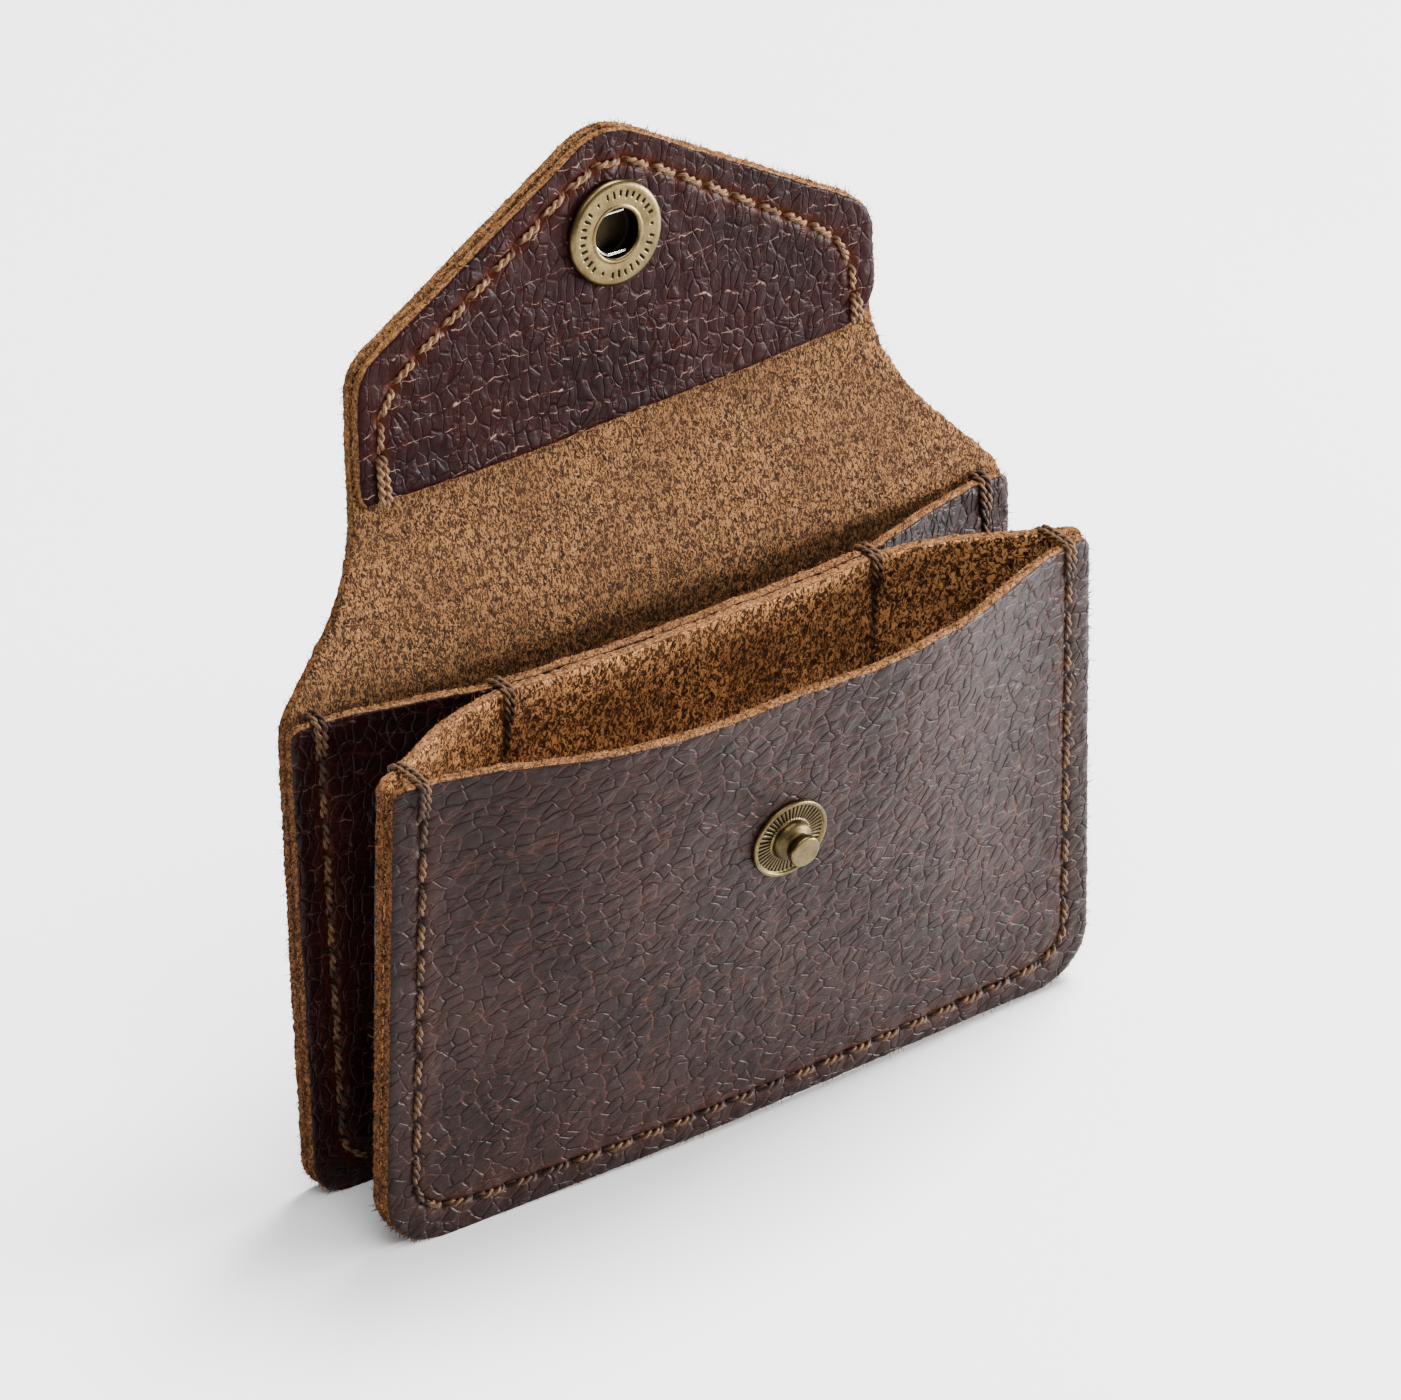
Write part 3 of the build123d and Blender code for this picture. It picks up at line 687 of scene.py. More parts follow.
def grain_material(name, pattern, top, deep, line_dark, line_warm, stain_col, rough, gloss=0.5, warm=0.5, crease_highlight=0.0,
                   crease_highlight_col=(0.6, 0.42, 0.38), depth_m=0.00013):
    mat, g, bsdf = new_material(name)
    vec = g.flat()
    stain, near, shade = g.painted("leather")
    border, depth, fine, fine_depth = pebbles(g, vec, *pattern)
    broad = g.noise(vec, 0.06, 3.0)
    blotch = g.noise(vec, 0.55, 4.0, 0.6)
    pores = g.noise(vec, 4.5, 4.0, 0.65)
    base = g.mix(g.ramp(broad, 0.35, 0.65), deep, top)
    base = g.mix(g.ramp(blotch, 0.35, 0.7, 0.0, 0.4), base, deep)
    # core: crease lines painted near black with line_dark, the creases' own darker tone together with painted shade in
    # them
    core = g.mul(g.ramp(border, 0.0, 0.08, 1.0, 0.0), g.ramp(depth, 0.0, 1.0, 0.1, 0.9))
    rim = g.mul(g.ramp(border, 0.02, 0.11, 1.0, 0.0), g.ramp(g.noise(vec, 0.35, 3.0), 0.40, 0.60))
    hair = g.mul(g.ramp(fine, 0.0, 0.07, 1.0, 0.0), fine_depth)
    for where, share, colour in ((rim, warm, line_warm), (core, 0.8, line_dark), (hair, 0.35, line_warm),
                                 (near, 0.25, line_warm), (stain, 0.8, stain_col)):
        base = g.mix(g.mul(where, share), base, colour)
    # painted shade: the shade channel darkens the front's border band
    base = g.mix(shade, base, tuple(c * 0.45 for c in deep))
    r = g.add(rough, g.mul(g.math("SUBTRACT", pores, 0.5), 0.18))
    r = g.add(r, g.mul(core, 0.5), clamp=True)
    height = g.mul(g.ramp(border, 0.0, 0.12), g.ramp(depth, 0.0, 1.0, 0.35, 1.0))
    for part, share in ((g.ramp(fine, 0.0, 0.10), g.mul(fine_depth, 0.55)), (g.noise(vec, 1.6, 5.0, 0.65), 0.5),
                        (pores, 0.12)):
        height = g.add(height, g.mul(part, share))
    # painted highlights: thin pale lines, mostly along the width, stand for light caught on the creases
    if crease_highlight:
        wisp = g.noise(g.times(vec, (0.22, 1.0, 0)), 0.6, 3.0, 0.65)
        dash = g.ramp(g.noise(vec, 0.7, 3.0, 0.6), 0.47, 0.62)
        thin = g.mul(g.ramp(border, 0.0, 0.035, 1.0, 0.0), g.ramp(wisp, 0.56, 0.66, 0.0, 0.5))
        sway = g.add(g.mul(g.noise(g.times(vec, (0.4, 1.0, 0)), 0.12, 1.0), 2.4), g.mul(g.noise(vec, 0.6, 1.0), 0.55))
        sep = g.node("ShaderNodeSeparateXYZ", {"Vector": vec})
        rows = g.math("FRACT", g.add(g.math("DIVIDE", sep.outputs[1], 3.0), sway))
        along = g.ramp(g.off_centre(rows, 0.5), 0.0, 0.032, 1.0, 0.0)
        thin = g.mul(g.add(thin, along, clamp=True), dash)
        base = g.mix(g.mul(thin, crease_highlight), base, crease_highlight_col)
        height = g.add(height, g.mul(thin, 0.5))
    g.inputs(bsdf, Base_Color=base, Roughness=r, Specular_IOR_Level=gloss, Normal=g.bump(height, 1.0, depth_m))
    return mat


def suede_material(name, light, mid, dark, speck=0.5, scale=1.0):
    mat, g, bsdf = new_material(name)
    vec = g.flat()
    stain, near, shade = g.painted("leather")
    fibre = g.noise(vec, 1.3 * scale, 3.0, 0.7, 1.5)
    fleck = g.noise(g.flat((1.0, 0.6, 1.0)), 2.2 * scale, 3.0, 0.7, 1.5)
    cloud = g.noise(vec, 0.10, 4.0)
    c = g.mix(g.ramp(fibre, 0.42, 0.53), dark, mid)
    c = g.mix(g.mul(g.ramp(fleck, 0.48, 0.57), speck), c, light)
    c = g.mix(g.ramp(cloud, 0.40, 0.62, 0.0, 0.3), c, mid)
    c = g.mix(g.mul(stain, 0.5), c, dark)
    g.inputs(bsdf, Base_Color=c, Roughness=0.95, Specular_IOR_Level=0.12, Sheen_Weight=0.08, Sheen_Roughness=0.5,
             Sheen_Tint=(*light, 1), Normal=g.bump(g.add(fibre, fleck), 1.0, 0.0004))
    return mat


def edge_material(name, light, dark, line):
    mat, g, bsdf = new_material(name)
    vec = g.flat()
    streak = g.noise(g.flat((1.0, 1.5, 1.0)), 1.9, 5.0, 0.75, 1.0)
    spots = g.noise(vec, 2.6, 4.0, 0.7, 0.8)
    c = g.mix(g.ramp(streak, 0.43, 0.55), dark, light)
    c = g.mix(g.ramp(spots, 0.38, 0.48, 0.8, 0.0), c, line)
    sep = g.node("ShaderNodeSeparateXYZ", {"Vector": vec})
    skin = g.ramp(g.off_centre(sep.outputs[1], T / 2), T * 0.40, T * 0.5, 0.0, 0.8)
    c = g.mix(skin, c, line)
    g.inputs(bsdf, Base_Color=c, Roughness=0.9, Specular_IOR_Level=0.15,
             Normal=g.bump(g.add(streak, spots), 1.0, 0.0004))
    return mat


def thread_material(name, dark, light, worn_low=0.42):
    mat, g, bsdf = new_material(name)
    vec = g.flat()
    hair = g.noise(g.flat((0.6, 3.0, 1.0)), 2.2, 4.0, 0.7)
    worn = g.noise(vec, 0.25, 3.0)
    c = g.mix(g.ramp(hair, 0.38, 0.62, 0.0, 0.8), dark, light)
    c = g.mix(g.ramp(worn, worn_low, worn_low + 0.15, 0.0, 0.7), dark, c)
    # painted shade: thread darkened towards each stitch's ends, where it dips into the needle holes, leaving the
    # middles lighter
    c = g.mix(g.ramp(g.painted("leather")[0], 0.10, 0.60, 0.75, 0.0), c, dark)
    g.inputs(bsdf, Base_Color=c, Roughness=0.62, Specular_IOR_Level=0.18, Normal=g.bump(hair, 0.8, 0.00008))
    return mat


def brass_material(name, bright, dark, recess, rough=0.34, dirt=0.6):
    mat, g, bsdf = new_material(name)
    co = g.node("ShaderNodeTexCoord").outputs["Object"]
    pressed = g.painted("recess")[0]
    big = g.noise(co, 420, 4.0, 0.6)
    small = g.noise(co, 3200, 5.0, 0.65)
    c = g.mix(g.ramp(big, 0.40, 0.66, 0.0, dirt), bright, dark)
    c = g.mix(g.ramp(small, 0.48, 0.62, 0.0, 0.4), c, dark)
    c = g.mix(pressed, c, recess)
    g.inputs(bsdf, Base_Color=c, Metallic=1.0)
    r = g.add(rough, g.mul(g.math("SUBTRACT", small, 0.5), 0.35))
    g.inputs(bsdf, Roughness=g.add(r, g.mul(pressed, 0.3)), Normal=g.bump(small, 0.3, 0.00003))
    return mat


GRAIN_FRONT = grain_material(
    "grain_front", FRONT_GRAIN, (0.0175, 0.0084, 0.0070), (0.0090, 0.0044, 0.0038), (0.0025, 0.001, 0.001),
    (0.062, 0.021, 0.015), (0.010, 0.004, 0.003), 0.36, 0.085)
# the flap, rear and back grains carry painted crease highlights: the pale colour near the end of each call
GRAIN_FLAP = grain_material(
    "grain_flap", FLAP_GRAIN, (0.013, 0.0027, 0.0026), (0.0065, 0.0014, 0.0014), (0.002, 0.001, 0.001),
    (0.034, 0.006, 0.0035), (0.050, 0.012, 0.0045), 0.36, 0.04, 0.3, 0.8, (0.27, 0.155, 0.120), 0.00008)
GRAIN_REAR = grain_material(
    "grain_rear", FLAP_GRAIN, (0.012, 0.003, 0.003), (0.006, 0.0016, 0.0016), (0.002, 0.001, 0.001),
    (0.035, 0.007, 0.004), (0.040, 0.010, 0.004), 0.34, 0.08, 0.5, 0.35, (0.20, 0.110, 0.085))
GRAIN_BACK = grain_material(
    "grain_back", FLAP_GRAIN, (0.0160, 0.0056, 0.0048), (0.0080, 0.0030, 0.0026), (0.002, 0.001, 0.001),
    (0.050, 0.014, 0.009), (0.040, 0.010, 0.004), 0.35, 0.08, 0.5, 0.2, (0.27, 0.155, 0.120))
SUEDE_FLAP = suede_material("suede_flap", (0.270, 0.126, 0.047), (0.034, 0.014, 0.005), (0.004, 0.002, 0.001), 0.9)
SUEDE_POCKET = suede_material(
    "suede_pocket", (0.74, 0.35, 0.130), (0.062, 0.023, 0.008), (0.004, 0.0015, 0.001), 0.9, 0.8)
EDGE_TAN = edge_material("cut_edge_tan", (0.36, 0.165, 0.062), (0.12, 0.048, 0.017), (0.022, 0.008, 0.004))
EDGE_FLAP = edge_material("cut_edge_flap", (0.33, 0.150, 0.052), (0.09, 0.035, 0.011), (0.012, 0.005, 0.003))
EDGE_BROWN = edge_material("cut_edge_brown", (0.25, 0.095, 0.030), (0.020, 0.008, 0.003), (0.003, 0.0015, 0.001))
THREAD_DARK = thread_material("thread_dark", (0.016, 0.007, 0.004), (0.215, 0.102, 0.040), 0.36)
THREAD_TAN = thread_material("thread_tan", (0.040, 0.014, 0.005), (0.40, 0.22, 0.105), 0.32)
BRASS = brass_material("antique_brass", (0.112, 0.080, 0.034), (0.040, 0.027, 0.011), (0.005, 0.004, 0.003), 0.33)
STEEL = brass_material("spring_wire", (0.75, 0.70, 0.58), (0.45, 0.40, 0.30), (0.1, 0.1, 0.1), 0.2, 0.2)

# ---- camera, floor, light
AZ, EL, DISTANCE = math.radians(-36.49), math.radians(30.15), 1.01963
TARGET = np.array([4.03, SHIFT_Y, 50.1]) * MM
BACK = np.array([math.sin(AZ) * math.cos(EL), -math.cos(AZ) * math.cos(EL), math.sin(EL)])
cam_data = bpy.data.cameras.new("camera")
cam_data.lens = 8.25 * 1019.63 / 1401 * 36
cam_data.sensor_width = 36
cam = bpy.data.objects.new("camera", cam_data)
cam.location = TARGET + BACK * DISTANCE
cam.rotation_euler = (math.pi / 2 - EL, 0, AZ)
bpy.context.scene.collection.objects.link(cam)
bpy.context.scene.camera = cam

floor_mat, g, bsdf = new_material("floor")
speckle = g.noise(g.node("ShaderNodeTexCoord").outputs["Object"], 6.0, 3.0)
g.inputs(bsdf, Base_Color=g.mix(g.ramp(speckle, 0.3, 0.7), (0.93,) * 3, (0.95,) * 3), Roughness=0.9)
corners = [(-4000, -4000, 0), (4000, -4000, 0), (4000, 4000, 0), (-4000, 4000, 0)]
floor = put_mesh("floor", corners, [(0, 1, 2, 3)], [floor_mat], None, False)
world = bpy.data.worlds.new("studio")
world.use_nodes = True
sky = world.node_tree.nodes["Background"]
sky.inputs[0].default_value = (1, 1, 1, 1)
sky.inputs[1].default_value = 0.42
bpy.context.scene.world = world
for name, where, aim, size, power in (("key", (1.0, 0.25, 2.3), (0, 0, 0.0), (1.1, 1.1), 220.0),
                                      ("sheen", (0.78, -0.44, 0.10), (0.03, 0, 0.02), (0.5, 0.2), 34.0),
                                      ("top", (-0.25, -0.55, 1.3), (0, 0, 0.06), (0.8, 0.8), 16.0),
                                      ("fill", (-0.6, -0.7, 0.6), (0, 0, 0.05), (0.6, 0.6), 0.6)):
    light = bpy.data.lights.new(name, "AREA")
    light.shape = "RECTANGLE"
    light.size, light.size_y = size
    light.energy = power
    obj = bpy.data.objects.new(name, light)
    obj.location = where
    obj.rotation_euler = (Vector(aim) - Vector(where)).to_track_quat("-Z", "Y").to_euler()
    bpy.context.scene.collection.objects.link(obj)


# ---- seams on the flat leather
def u_seam(half_low, half_top, low, top, corner):
    """Needle holes down the left side, along the bottom and up the right side, with corners cut across."""
    n = int(round((top - low - corner) / PITCH))
    left = [(-half_top + (half_top - half_low) * k / n, top - (top - low - corner) * k / n) for k in range(n + 1)]
    turn = [(-half_low + 1.1, low + corner * 0.42), (-half_low + 3.9, low + 0.3)]
    m = int(round(2 * (half_low - 3.9) / PITCH))
    bottom = [(-half_low + 3.9 + 2 * (half_low - 3.9) * k / m, low - 0.3) for k in range(1, m)]
    return left + turn + bottom + [(-x, z) for x, z in reversed(left + turn)]


def resample(points, pitch):
    p = np.array(points, float)
    return [tuple(q) for q in evenly(p, int(round(lengths(p)[-1] / pitch)) + 1)]


FRONT_SEAM = [(x, z + 0.45 * float(np.interp(x, [-40, 5, 30], [0, 1.3, 1.2])) * (z < 10))
              for x, z in u_seam(49.4, 47.9, 4.1, 59.8, 4.2)]
REAR_SEAM = u_seam(49.4, 49.6, 3.2, 59.8, 4.2)
TURN = [(34.9, 4.2), (34.6, 9.0), (33.0, 12.0), (29.6, 14.7), (4.8, 30.3), (1.6, 31.5)]
FLAP_SEAM = resample([(-x, U2 + t) for x, t in TURN] + [(x, U2 + t) for x, t in reversed(TURN)], 4.5)
DIVIDERS = [[(side * SEAM_X, z) for z in (59.6, 55.2, 50.8, 46.4)] for side in (-1, 1)]

# ---- the leather panels
STEP_MM = 0.34


def panel_grid(v, width, columns=None):
    s = np.linspace(-1, 1, columns or int(2 * width.max() / STEP_MM) | 1)
    return s[None, :] * width[:, None], np.repeat(v[:, None], len(s), 1)


def hand_cut(v, x, seed, top=H, size=0.28):
    """A slightly uneven hand-cut opening edge."""
    return v + size * 2 * (fractal(x / 7.0, x * 0 + 1, seed, 3) - 0.5) * smooth(top - 14, top, v)


def lifted(v, x):
    """The front pocket's bottom edge doesn't touch the floor everywhere."""
    return v + np.interp(x, [-40, -15, 5, 30, 53], [0, 0.7, 1.3, 1.2, 0.7]) * (1 - smooth(0, 9, v))


v = rows_between(H, 8.0, 1.6)
x, vv = panel_grid(v, corner_width(v, pocket_half(v), 8.0, 1.6))
vv = lifted(hand_cut(vv, x, 7), x)
front_leather = shell(
    "front_panel_leather", x, vv, front_face, (GRAIN_FRONT, SUEDE_POCKET, EDGE_TAN, EDGE_BROWN), "front",
    FRONT_GRAIN, 0.11, [FRONT_SEAM], seed=11, fuzz=1500, painted_shade_border=True)
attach(front_leather, "front_pocket")
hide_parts("front_panel")

REAR_MATS = (GRAIN_REAR, SUEDE_POCKET, EDGE_TAN, EDGE_BROWN)
v = rows_between(H, 5.0, 1.5)
x, vv = panel_grid(v, corner_width(v, HALF, 5.0, 1.5))
rear_leather = shell(
    "rear_pocket_leather", x, hand_cut(vv, x, 17), rear_face, REAR_MATS, "front", FLAP_GRAIN, 0.12,
    [REAR_SEAM, *DIVIDERS], seed=23, fuzz=1200)
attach(rear_leather, "case")
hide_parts("rear_pocket_panel")

STRIP_HALF = [
    (0.0, 52.4), (3.2, 49.5), (6.0, 46.8), (9.0, 44.0), (12.2, 41.7), (15.5, 40.0), (19.0, 38.8), (23.2, 38.2)]
SHOULDER, SHOULDER_R, POINT, POINT_R = (37.8, 15.2), 6.0, 36.7, 9.0
RIGHT_EXTRA = [
    (-64, 0), (-20, 0.1), (-4, 0.35), (2, 0.7), (8, 1.0), (15, 0.9), (21, 0.3), (27, 0.1), (35, 0.5), (60, 0.5)]


def back_half(u):
    """Half width of the back leather at a length u from its bottom edge."""
    w = np.interp(u, [0, 61.5, 63.2, 64.6, U1], [HALF, HALF, HALF - 0.3, HALF - 0.8, 52.4])
    t, strip = np.array(STRIP_HALF).T
    return np.where(u > U1, np.interp(u, t + U1, strip), w)


def tongue_outline():
    """Half of the tongue's outline above the fold, with its shoulder and point rounded."""
    side, (sx, st) = STRIP_HALF[-1][1], SHOULDER
    slope = np.array([-sx, POINT - st]) / math.hypot(sx, POINT - st)
    up = np.array([sx - side, st]) / math.hypot(sx - side, st)
    turn = math.acos(float(up @ slope))
    back_off = SHOULDER_R * math.tan(turn / 2)
    corner, t = np.array(SHOULDER), np.linspace(0, 1, 40)[:, None]
    before, after = corner - up * back_off, corner + slope * back_off
    shoulder = (1 - t)**2 * before + 2 * t * (1 - t) * corner + t**2 * after
    lean = math.atan2(slope[1], -slope[0])
    end = np.array([0, POINT]) - slope * POINT_R * math.tan(lean)
    centre = end + POINT_R * np.array([-math.sin(lean), -math.cos(lean)])
    a = np.linspace(math.pi / 2 - lean, math.pi / 2, 60)
    tip = np.array([0, centre[1]]) + POINT_R * np.stack([np.cos(a), np.sin(a)], -1)
    return np.concatenate([[[side, 0]], shoulder, tip])


OUTLINE = tongue_outline()
TIP = OUTLINE[-1, 1]


def tongue_half(t):
    return np.interp(t, OUTLINE[:, 1], OUTLINE[:, 0])


def uneven(x, u):
    """The hand-cut outline isn't quite the same left and right of the middle."""
    t = u - U1
    right = np.interp(t, *zip(*RIGHT_EXTRA))
    left = np.interp(t, [-64, 22, 30, 38, 50, 60], [0, 0, -0.15, -0.45, -0.35, -0.3])
    return x + np.where(x > 0, right * np.clip(x / 38, 0, 1), left * -np.clip(-x / 38, 0, 1))


MID = U1 + STRIP / 2
COLUMNS = int(2 * HALF / STEP_MM) | 1
v = rows_between(MID, 5.0)
x, vv = panel_grid(v, corner_width(v, back_half(v), 5.0), COLUMNS)
x = uneven(x, vv)
back_leather = shell(
    "back_leather", x, vv, inner_face, (GRAIN_BACK, SUEDE_FLAP, EDGE_BROWN, EDGE_BROWN), "rear", FLAP_GRAIN, 0.12,
    [REAR_SEAM], seed=37, fuzz=900, joined="high")
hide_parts("back_panel", "fold_strip")


def tongue_rows(start, drop=0.0):
    """Rows from start to the point, closer together near the point."""
    top = U2 + TIP - drop
    n = int((top - 5 - start) / STEP_MM)
    v = np.concatenate([np.linspace(start, top - 5, n), top - 5 * (1 - np.sin(np.linspace(0, math.pi / 2, 30)[1:]))])
    return v, np.maximum(np.where(v < U2, back_half(v), tongue_half(v - U2 + drop)), 0.5)


SOCKET_U = U2 + 22.64
v, w = tongue_rows(MID)
x, vv = panel_grid(v, w, COLUMNS)
x = uneven(x, vv)
flap_leather = shell(
    "flap_leather", x, vv, inner_face, (GRAIN_BACK, SUEDE_FLAP, EDGE_FLAP, EDGE_FLAP), "rear", FLAP_GRAIN, 0.12,
    [FLAP_SEAM], seed=37, fuzz=900, joined="low")
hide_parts("flap_panel")

v, w = tongue_rows(U2 - 1.0, 0.12)
x, vv = panel_grid(v, w - 0.1)
d, d_left = np.clip(U2 + 4.0 - vv, 0, 5) / 5, np.clip(U2 + 1.0 - vv, 0, 2) / 2
x = uneven(x, vv) - 2.6 * (1 - np.sqrt(1 - d**2)) * np.clip(x / 38, 0, 1) + 0.9 * d_left**2 * np.clip(-x / 38, 0, 1)
lower = np.interp(x, [-38.4, -25, -15, 0, 20, 33, 37.5], [-0.6, -0.9, -0.9, -0.3, 0.4, 1.2, 3.0])
vv = vv + lower * (1 - smooth(0, 9, vv - (U2 - 1.0)))
facing = shell(
    "flap_facing_leather", x, vv, facing_face, (GRAIN_FLAP, SUEDE_FLAP, EDGE_FLAP, EDGE_FLAP), "front", FLAP_GRAIN,
    0.06, [FLAP_SEAM], seed=51, fuzz=500, pit=(0, SOCKET_U, 4.2, T - 0.05))
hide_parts("flap_facing")

# the gusset
v = rows_between(H)
x, vv = panel_grid(v, np.full(v.shape, SEAM_X))
gusset_middle = shell(
    "gusset_middle_leather", x, lifted(hand_cut(vv, x, 17), x), gusset_middle_face, REAR_MATS, "rear", FLAP_GRAIN,
    0.12, [FRONT_SEAM], seed=61, fuzz=300)
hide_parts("gusset_middle")
# how far a wing follows the front pocket: grows outwards from the divider seam and downwards from its end
for side, name in ((-1, "left"), (1, "right")):
    v = rows_between(H, 8.0, 1.2)
    w = corner_width(v, pocket_half(v), 8.0, 1.2)
    s = np.linspace(0, 1, int((HALF - SEAM_X) / STEP_MM))
    x = side * (SEAM_X + s[None, :] * (w - SEAM_X)[:, None])
    vv = np.repeat(v[:, None], len(s), 1)
    if side < 0:
        x = x[:, ::-1]
    vv = lifted(vv, x)
    wing = shell("gusset_%s_leather" % name, x, vv, gusset_wing_face, REAR_MATS, "rear", FLAP_GRAIN, 0.12,
                 [[p for p in FRONT_SEAM if p[0] * side > SEAM_X], DIVIDERS[side > 0]], seed=63 + side, fuzz=400)
    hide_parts("gusset_wing_" + name)
    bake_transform(wing)
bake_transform(gusset_middle)


def along_sheet(u):
    return tuple(spot(back_sheet, 0, u) * MM)


along_sheet(U1 - BEND)
along_sheet(U1 + BEND)
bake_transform(back_leather)
along_sheet(U2 - BEND)
along_sheet(U2 + BEND)
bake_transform(flap_leather)
along_sheet(U2 - BEND)
along_sheet(U2 + BEND)
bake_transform(facing)

# ---- thread
front_paths = stitches(FRONT_SEAM, front_face, 3)
for side in (-1, 1):
    part = [p for p in FRONT_SEAM if p[0] * side > SEAM_X + 1]
    front_paths += stitches(part, gusset_wing_face, 4, rear=True)
    x0 = side * 47.9
    corners, edge = first_corners(front_face, x0)
    back_y = spot(gusset_wing_face, x0, H)[1] + T
    front_paths += wraps(corners + [edge + (0, -0.1, 0.42), (x0, back_y + 0.1, H + 0.42), (x0, back_y + 0.34, H - 0.6),
                                    (x0, back_y + 0.28, 60.2), (x0, back_y - 0.8, 59.4)])
thread_piece("front_seam_stitches", front_paths, THREAD_DARK, "front_pocket", "front_seam_thread")

rear_paths = stitches(REAR_SEAM, rear_face, 6)
for side in (-1, 1):
    corners, edge = first_corners(rear_face, side * 49.6)
    rear_paths += wraps(corners + [edge + (0, -0.05, 0.40), edge + (0, T + 0.1, 0.62), edge + (0, T + 0.9, 0.30)])
thread_piece("rear_seam_stitches", rear_paths, THREAD_DARK, "case", "rear_seam_thread")
thread_piece(
    "rear_seam_back_stitches", stitches(REAR_SEAM, inner_face, 8, rear=True), THREAD_DARK, "case",
    "rear_seam_back_thread")
for seam, name in zip(DIVIDERS, ("left", "right")):
    corners, edge = first_corners(gusset_middle_face, seam[0][0])
    over = ((-0.1, 0.42), (2 * T + 0.2, 0.42), (2 * T + 0.45, -0.6), (2 * T + 0.4, -3.8), (2 * T - 0.5, -4.4))
    paths = stitches(seam, gusset_middle_face, 9) + wraps(corners + [edge + (0, y, z) for y, z in over])
    thread_piece("divider_stitches_" + name, paths, THREAD_DARK, "case", "divider_thread_" + name)

flap_paths = stitches(FLAP_SEAM, facing_face, 12, slant=0.16) + stitches(FLAP_SEAM, inner_face, 13, rear=True)
for side in (-1, 1):
    x0 = side * 35.0
    low = float(np.interp(x0, [-38.4, -25, 33, 37.5], [-0.6, -0.9, 1.2, 3.0])) - 1.0
    at = lambda t, off: back_sheet(np.array(x0), np.array(U2 + t), -T / 2 - off)
    flap_paths += wraps([at(4.0, T - 0.6), at(3.7, T + 0.32), at(low + 0.5, T + 0.34), at(low - 0.4, T + 0.1),
                         at(low - 0.6, 0.3), at(low - 1.2, -0.5)])
flap_thread = thread_piece("flap_seam_stitches", flap_paths, THREAD_TAN, None, "flap_seam_thread")
along_sheet(U2 - BEND)
along_sheet(U2 + BEND)
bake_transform(flap_thread)

# ---- the snap
stud_lean = math.atan2(FRONT_BOTTOM[0][1] - FRONT_TOP[0][1], H)
STUD_AXIS = (0, -math.cos(stud_lean), -math.sin(stud_lean))
STUD_AT = spot(front_face, 0, 43.4)


def ribs(r, h, angle):
    """Fine radial ribs pressed into the stud's recessed ring."""
    if not 2.95 < r < 4.72 or h < 0:
        return np.zeros(len(angle))
    return 0.13 * np.clip(0.5 - 1.5 * np.cos(46 * angle), 0, 1)


def stud_darkening(r, h):
    """Darkens the recessed ring and the foot of the neck."""
    if h > 0.3 and 2.9 < r < 4.72:
        return 0.2
    return 0.45 if 0.3 < h < 2.5 and r < 2.6 else 0.0


stud_profile = arc_profile([(0, 0.02), (5.2, 0.02), (5.42, 0.1), (5.42, 0.45), (5.34, 0.68), (5.15, 0.76),
                            (4.95, 0.72), (4.85, 0.6), (4.78, 0.5)])[:-1]
stud_profile[-1] = (4.75, 0.5)
stud_profile += [(r, 0.5) for r in (4.7, 4.5, 4.2, 3.9, 3.6, 3.3, 3.0)] + [(2.85, 0.48)]
stud_profile += arc_profile([(2.72, 0.62), (2.66, 1.1), (2.45, 1.5), (2.0, 1.78), (1.68, 2.0), (1.64, 2.35),
                             (1.85, 2.6), (2.08, 2.8), (2.1, 3.1), (2.1, 3.45), (1.98, 3.68), (1.7, 3.75),
                             (0.9, 3.72), (0, 3.72)])
stud = turned("snap_stud_metal", stud_profile, STUD_AT, STUD_AXIS, BRASS, 460, ribs, stud_darkening)
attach(stud, "front_pocket")
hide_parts("snap_stud")
post = turned("stud_post_metal", arc_profile([(0, -T - 0.05), (4.5, -T - 0.05), (4.62, -T - 0.3), (4.5, -T - 0.62),
                                             (3.0, -T - 0.72), (0, -T - 0.74)])[::-1], STUD_AT, STUD_AXIS, BRASS)
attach(post, "front_pocket")
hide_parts("stud_post")

FLAP_MID = spot(back_sheet, 0, SOCKET_U)
INNER = np.array([0, -math.cos(FLAP_LEAN), math.sin(FLAP_LEAN)])
FACE = FLAP_MID + INNER * (T * 1.5 + LAYER)


def round_from(angle, at):
    return np.abs((angle - at + math.pi) % (2 * math.pi) - math.pi)


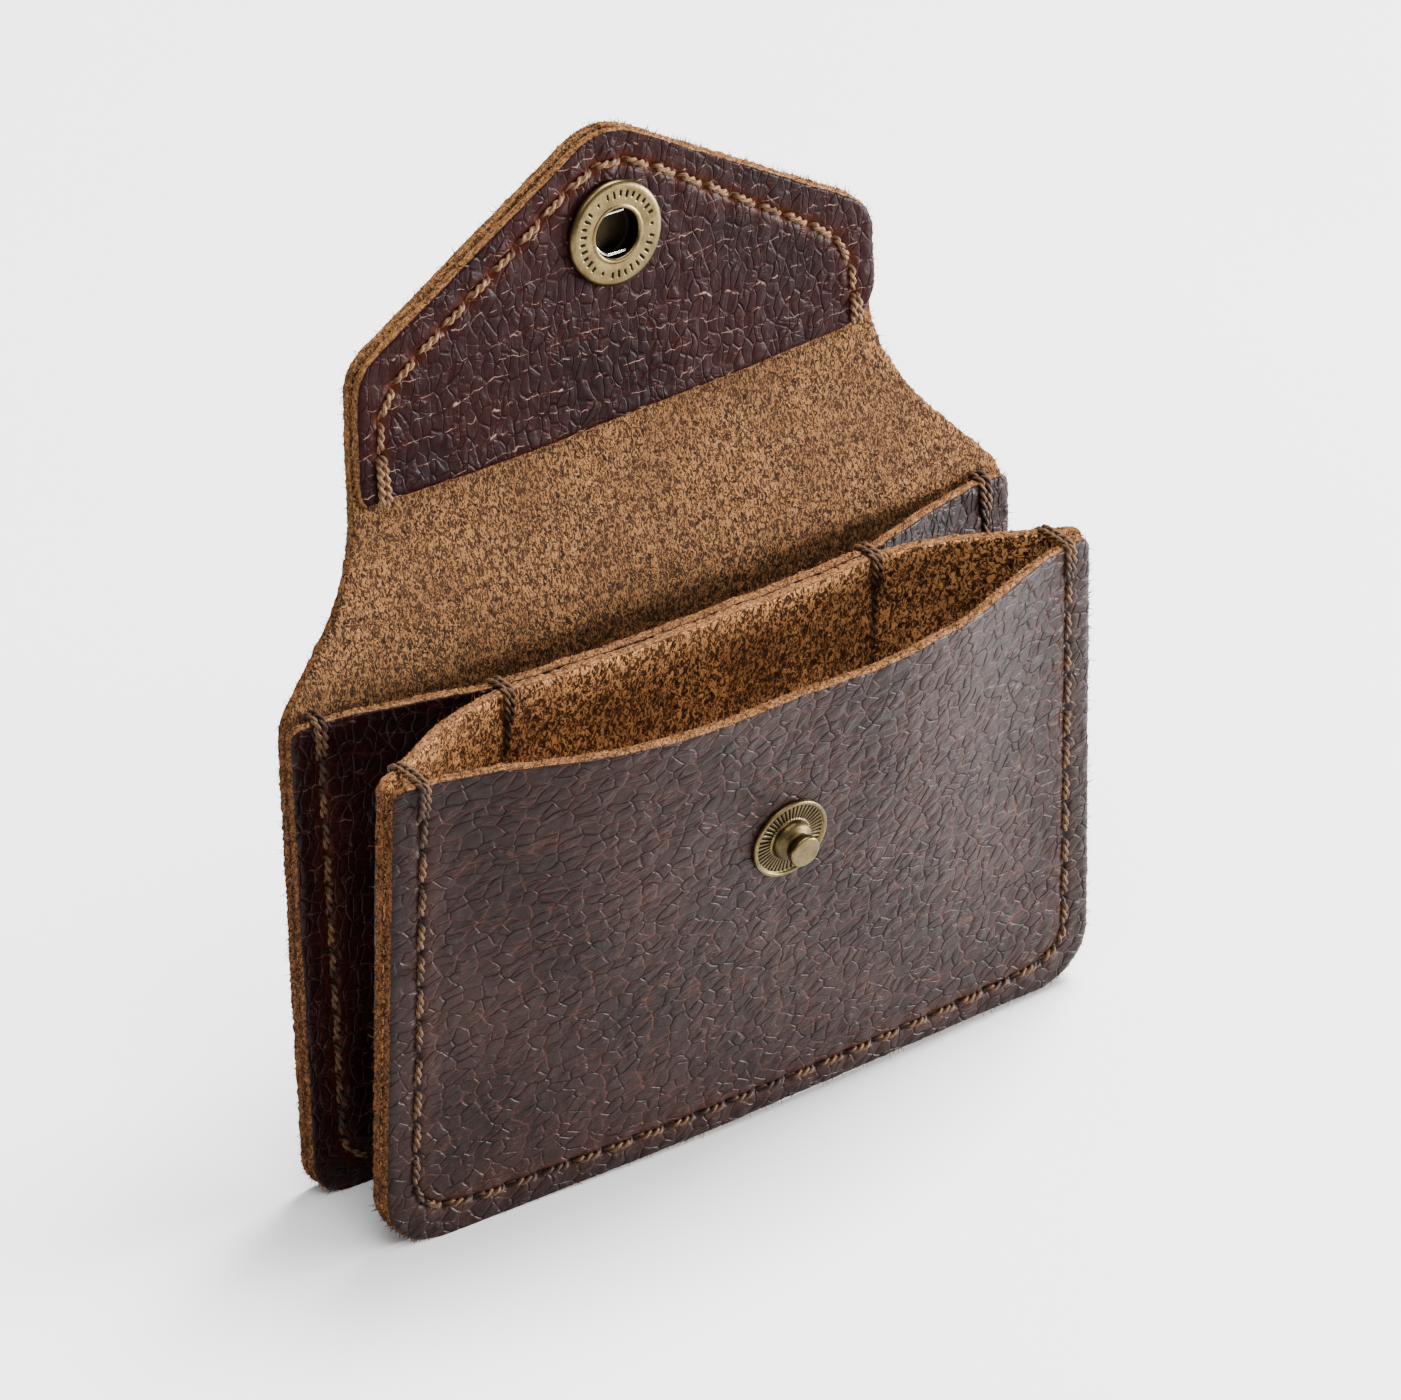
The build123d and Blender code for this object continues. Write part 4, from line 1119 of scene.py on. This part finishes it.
def marks(r, h, angle):
    """Plain tick marks and dots round the ring, pressed in."""
    if not 4.45 < r < 5.55 or h < 0.9:
        return np.zeros(len(angle))
    cut = np.zeros(len(angle))
    for third in range(3):
        start = third * 2 * math.pi / 3
        for k in range(9):
            d = round_from(angle, start + 0.30 + k * 0.186) * r
            long = 4.55 if k % 2 else 4.8
            cut = np.maximum(cut, (d < 0.16) * (long < r < 5.45) * 0.12)
        d = round_from(angle, start) * r
        cut = np.maximum(cut, (np.hypot(d, r - 5.0) < 0.2) * 0.12)
    return cut


outer = arc_profile([(0, -1.50), (3.9, -1.50), (3.95, -0.1), (6.4, -0.05), (6.62, 0.1), (6.66, 0.55), (6.5, 0.92),
                     (6.15, 1.10), (5.75, 1.13)])[:-1]
ring_profile = outer + [(5.6 - 0.11 * k, 1.12) for k in range(12)] + [(4.2, 1.11)]
ring_profile += arc_profile([(4.0, 1.10), (3.7, 1.08), (3.55, 1.16), (3.3, 1.16), (3.12, 1.0), (3.08, 0.7), (3.3, 0.5),
                             (3.3, -1.2), (3.0, -1.40), (0, -1.42)])
# the lambda paints shade inside the socket's hole: its wall and floor are darkened almost to the recess colour
socket = turned("snap_socket_metal", ring_profile, FACE, INNER, BRASS, 480, marks,
                lambda r, h: 0.9 if r < 3.35 and h < 0.95 else 0.0)
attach(socket, "flap")
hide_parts("snap_socket")
cap = turned("snap_cap_metal", arc_profile([(0, 1.32), (2.6, 1.22), (4.8, 0.86), (6.0, 0.42), (6.42, 0.16), (6.4, 0.0),
                                           (6.0, -0.02), (0, -0.02)])[::-1], FLAP_MID - INNER * (T / 2 + 0.05), -INNER,
             BRASS, 128)
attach(cap, "flap")
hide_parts("snap_cap")

UP = np.cross(INNER, (1.0, 0, 0))
WIRE_R, WIRE_IN = 0.22, 0.36
for name, sign in (("upper", 1), ("lower", -1)):
    a = np.radians(np.linspace(118, 178, 16))
    sink = WIRE_IN - 0.5 * np.linspace(0, 1, 16) - 0.1 * (sign < 0)
    arc = np.stack([2.86 * np.cos(a), 2.86 * np.sin(a) * sign, sink], -1)
    chord = np.array([[x, sign * 2.62, WIRE_IN] for x in (1.5, 0, -1.1)])
    p = chain(np.concatenate([chord, arc]), 40)
    p = FACE + p[:, :1] * np.array([1.0, 0, 0]) + p[:, 1:2] * UP + p[:, 2:] * INNER
    wire = put_mesh("spring_wire_%s_metal" % name, *tube(p, *across(p, INNER), WIRE_R, 12), [STEEL])
    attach(wire, "flap")
    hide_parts("spring_wire_" + name)
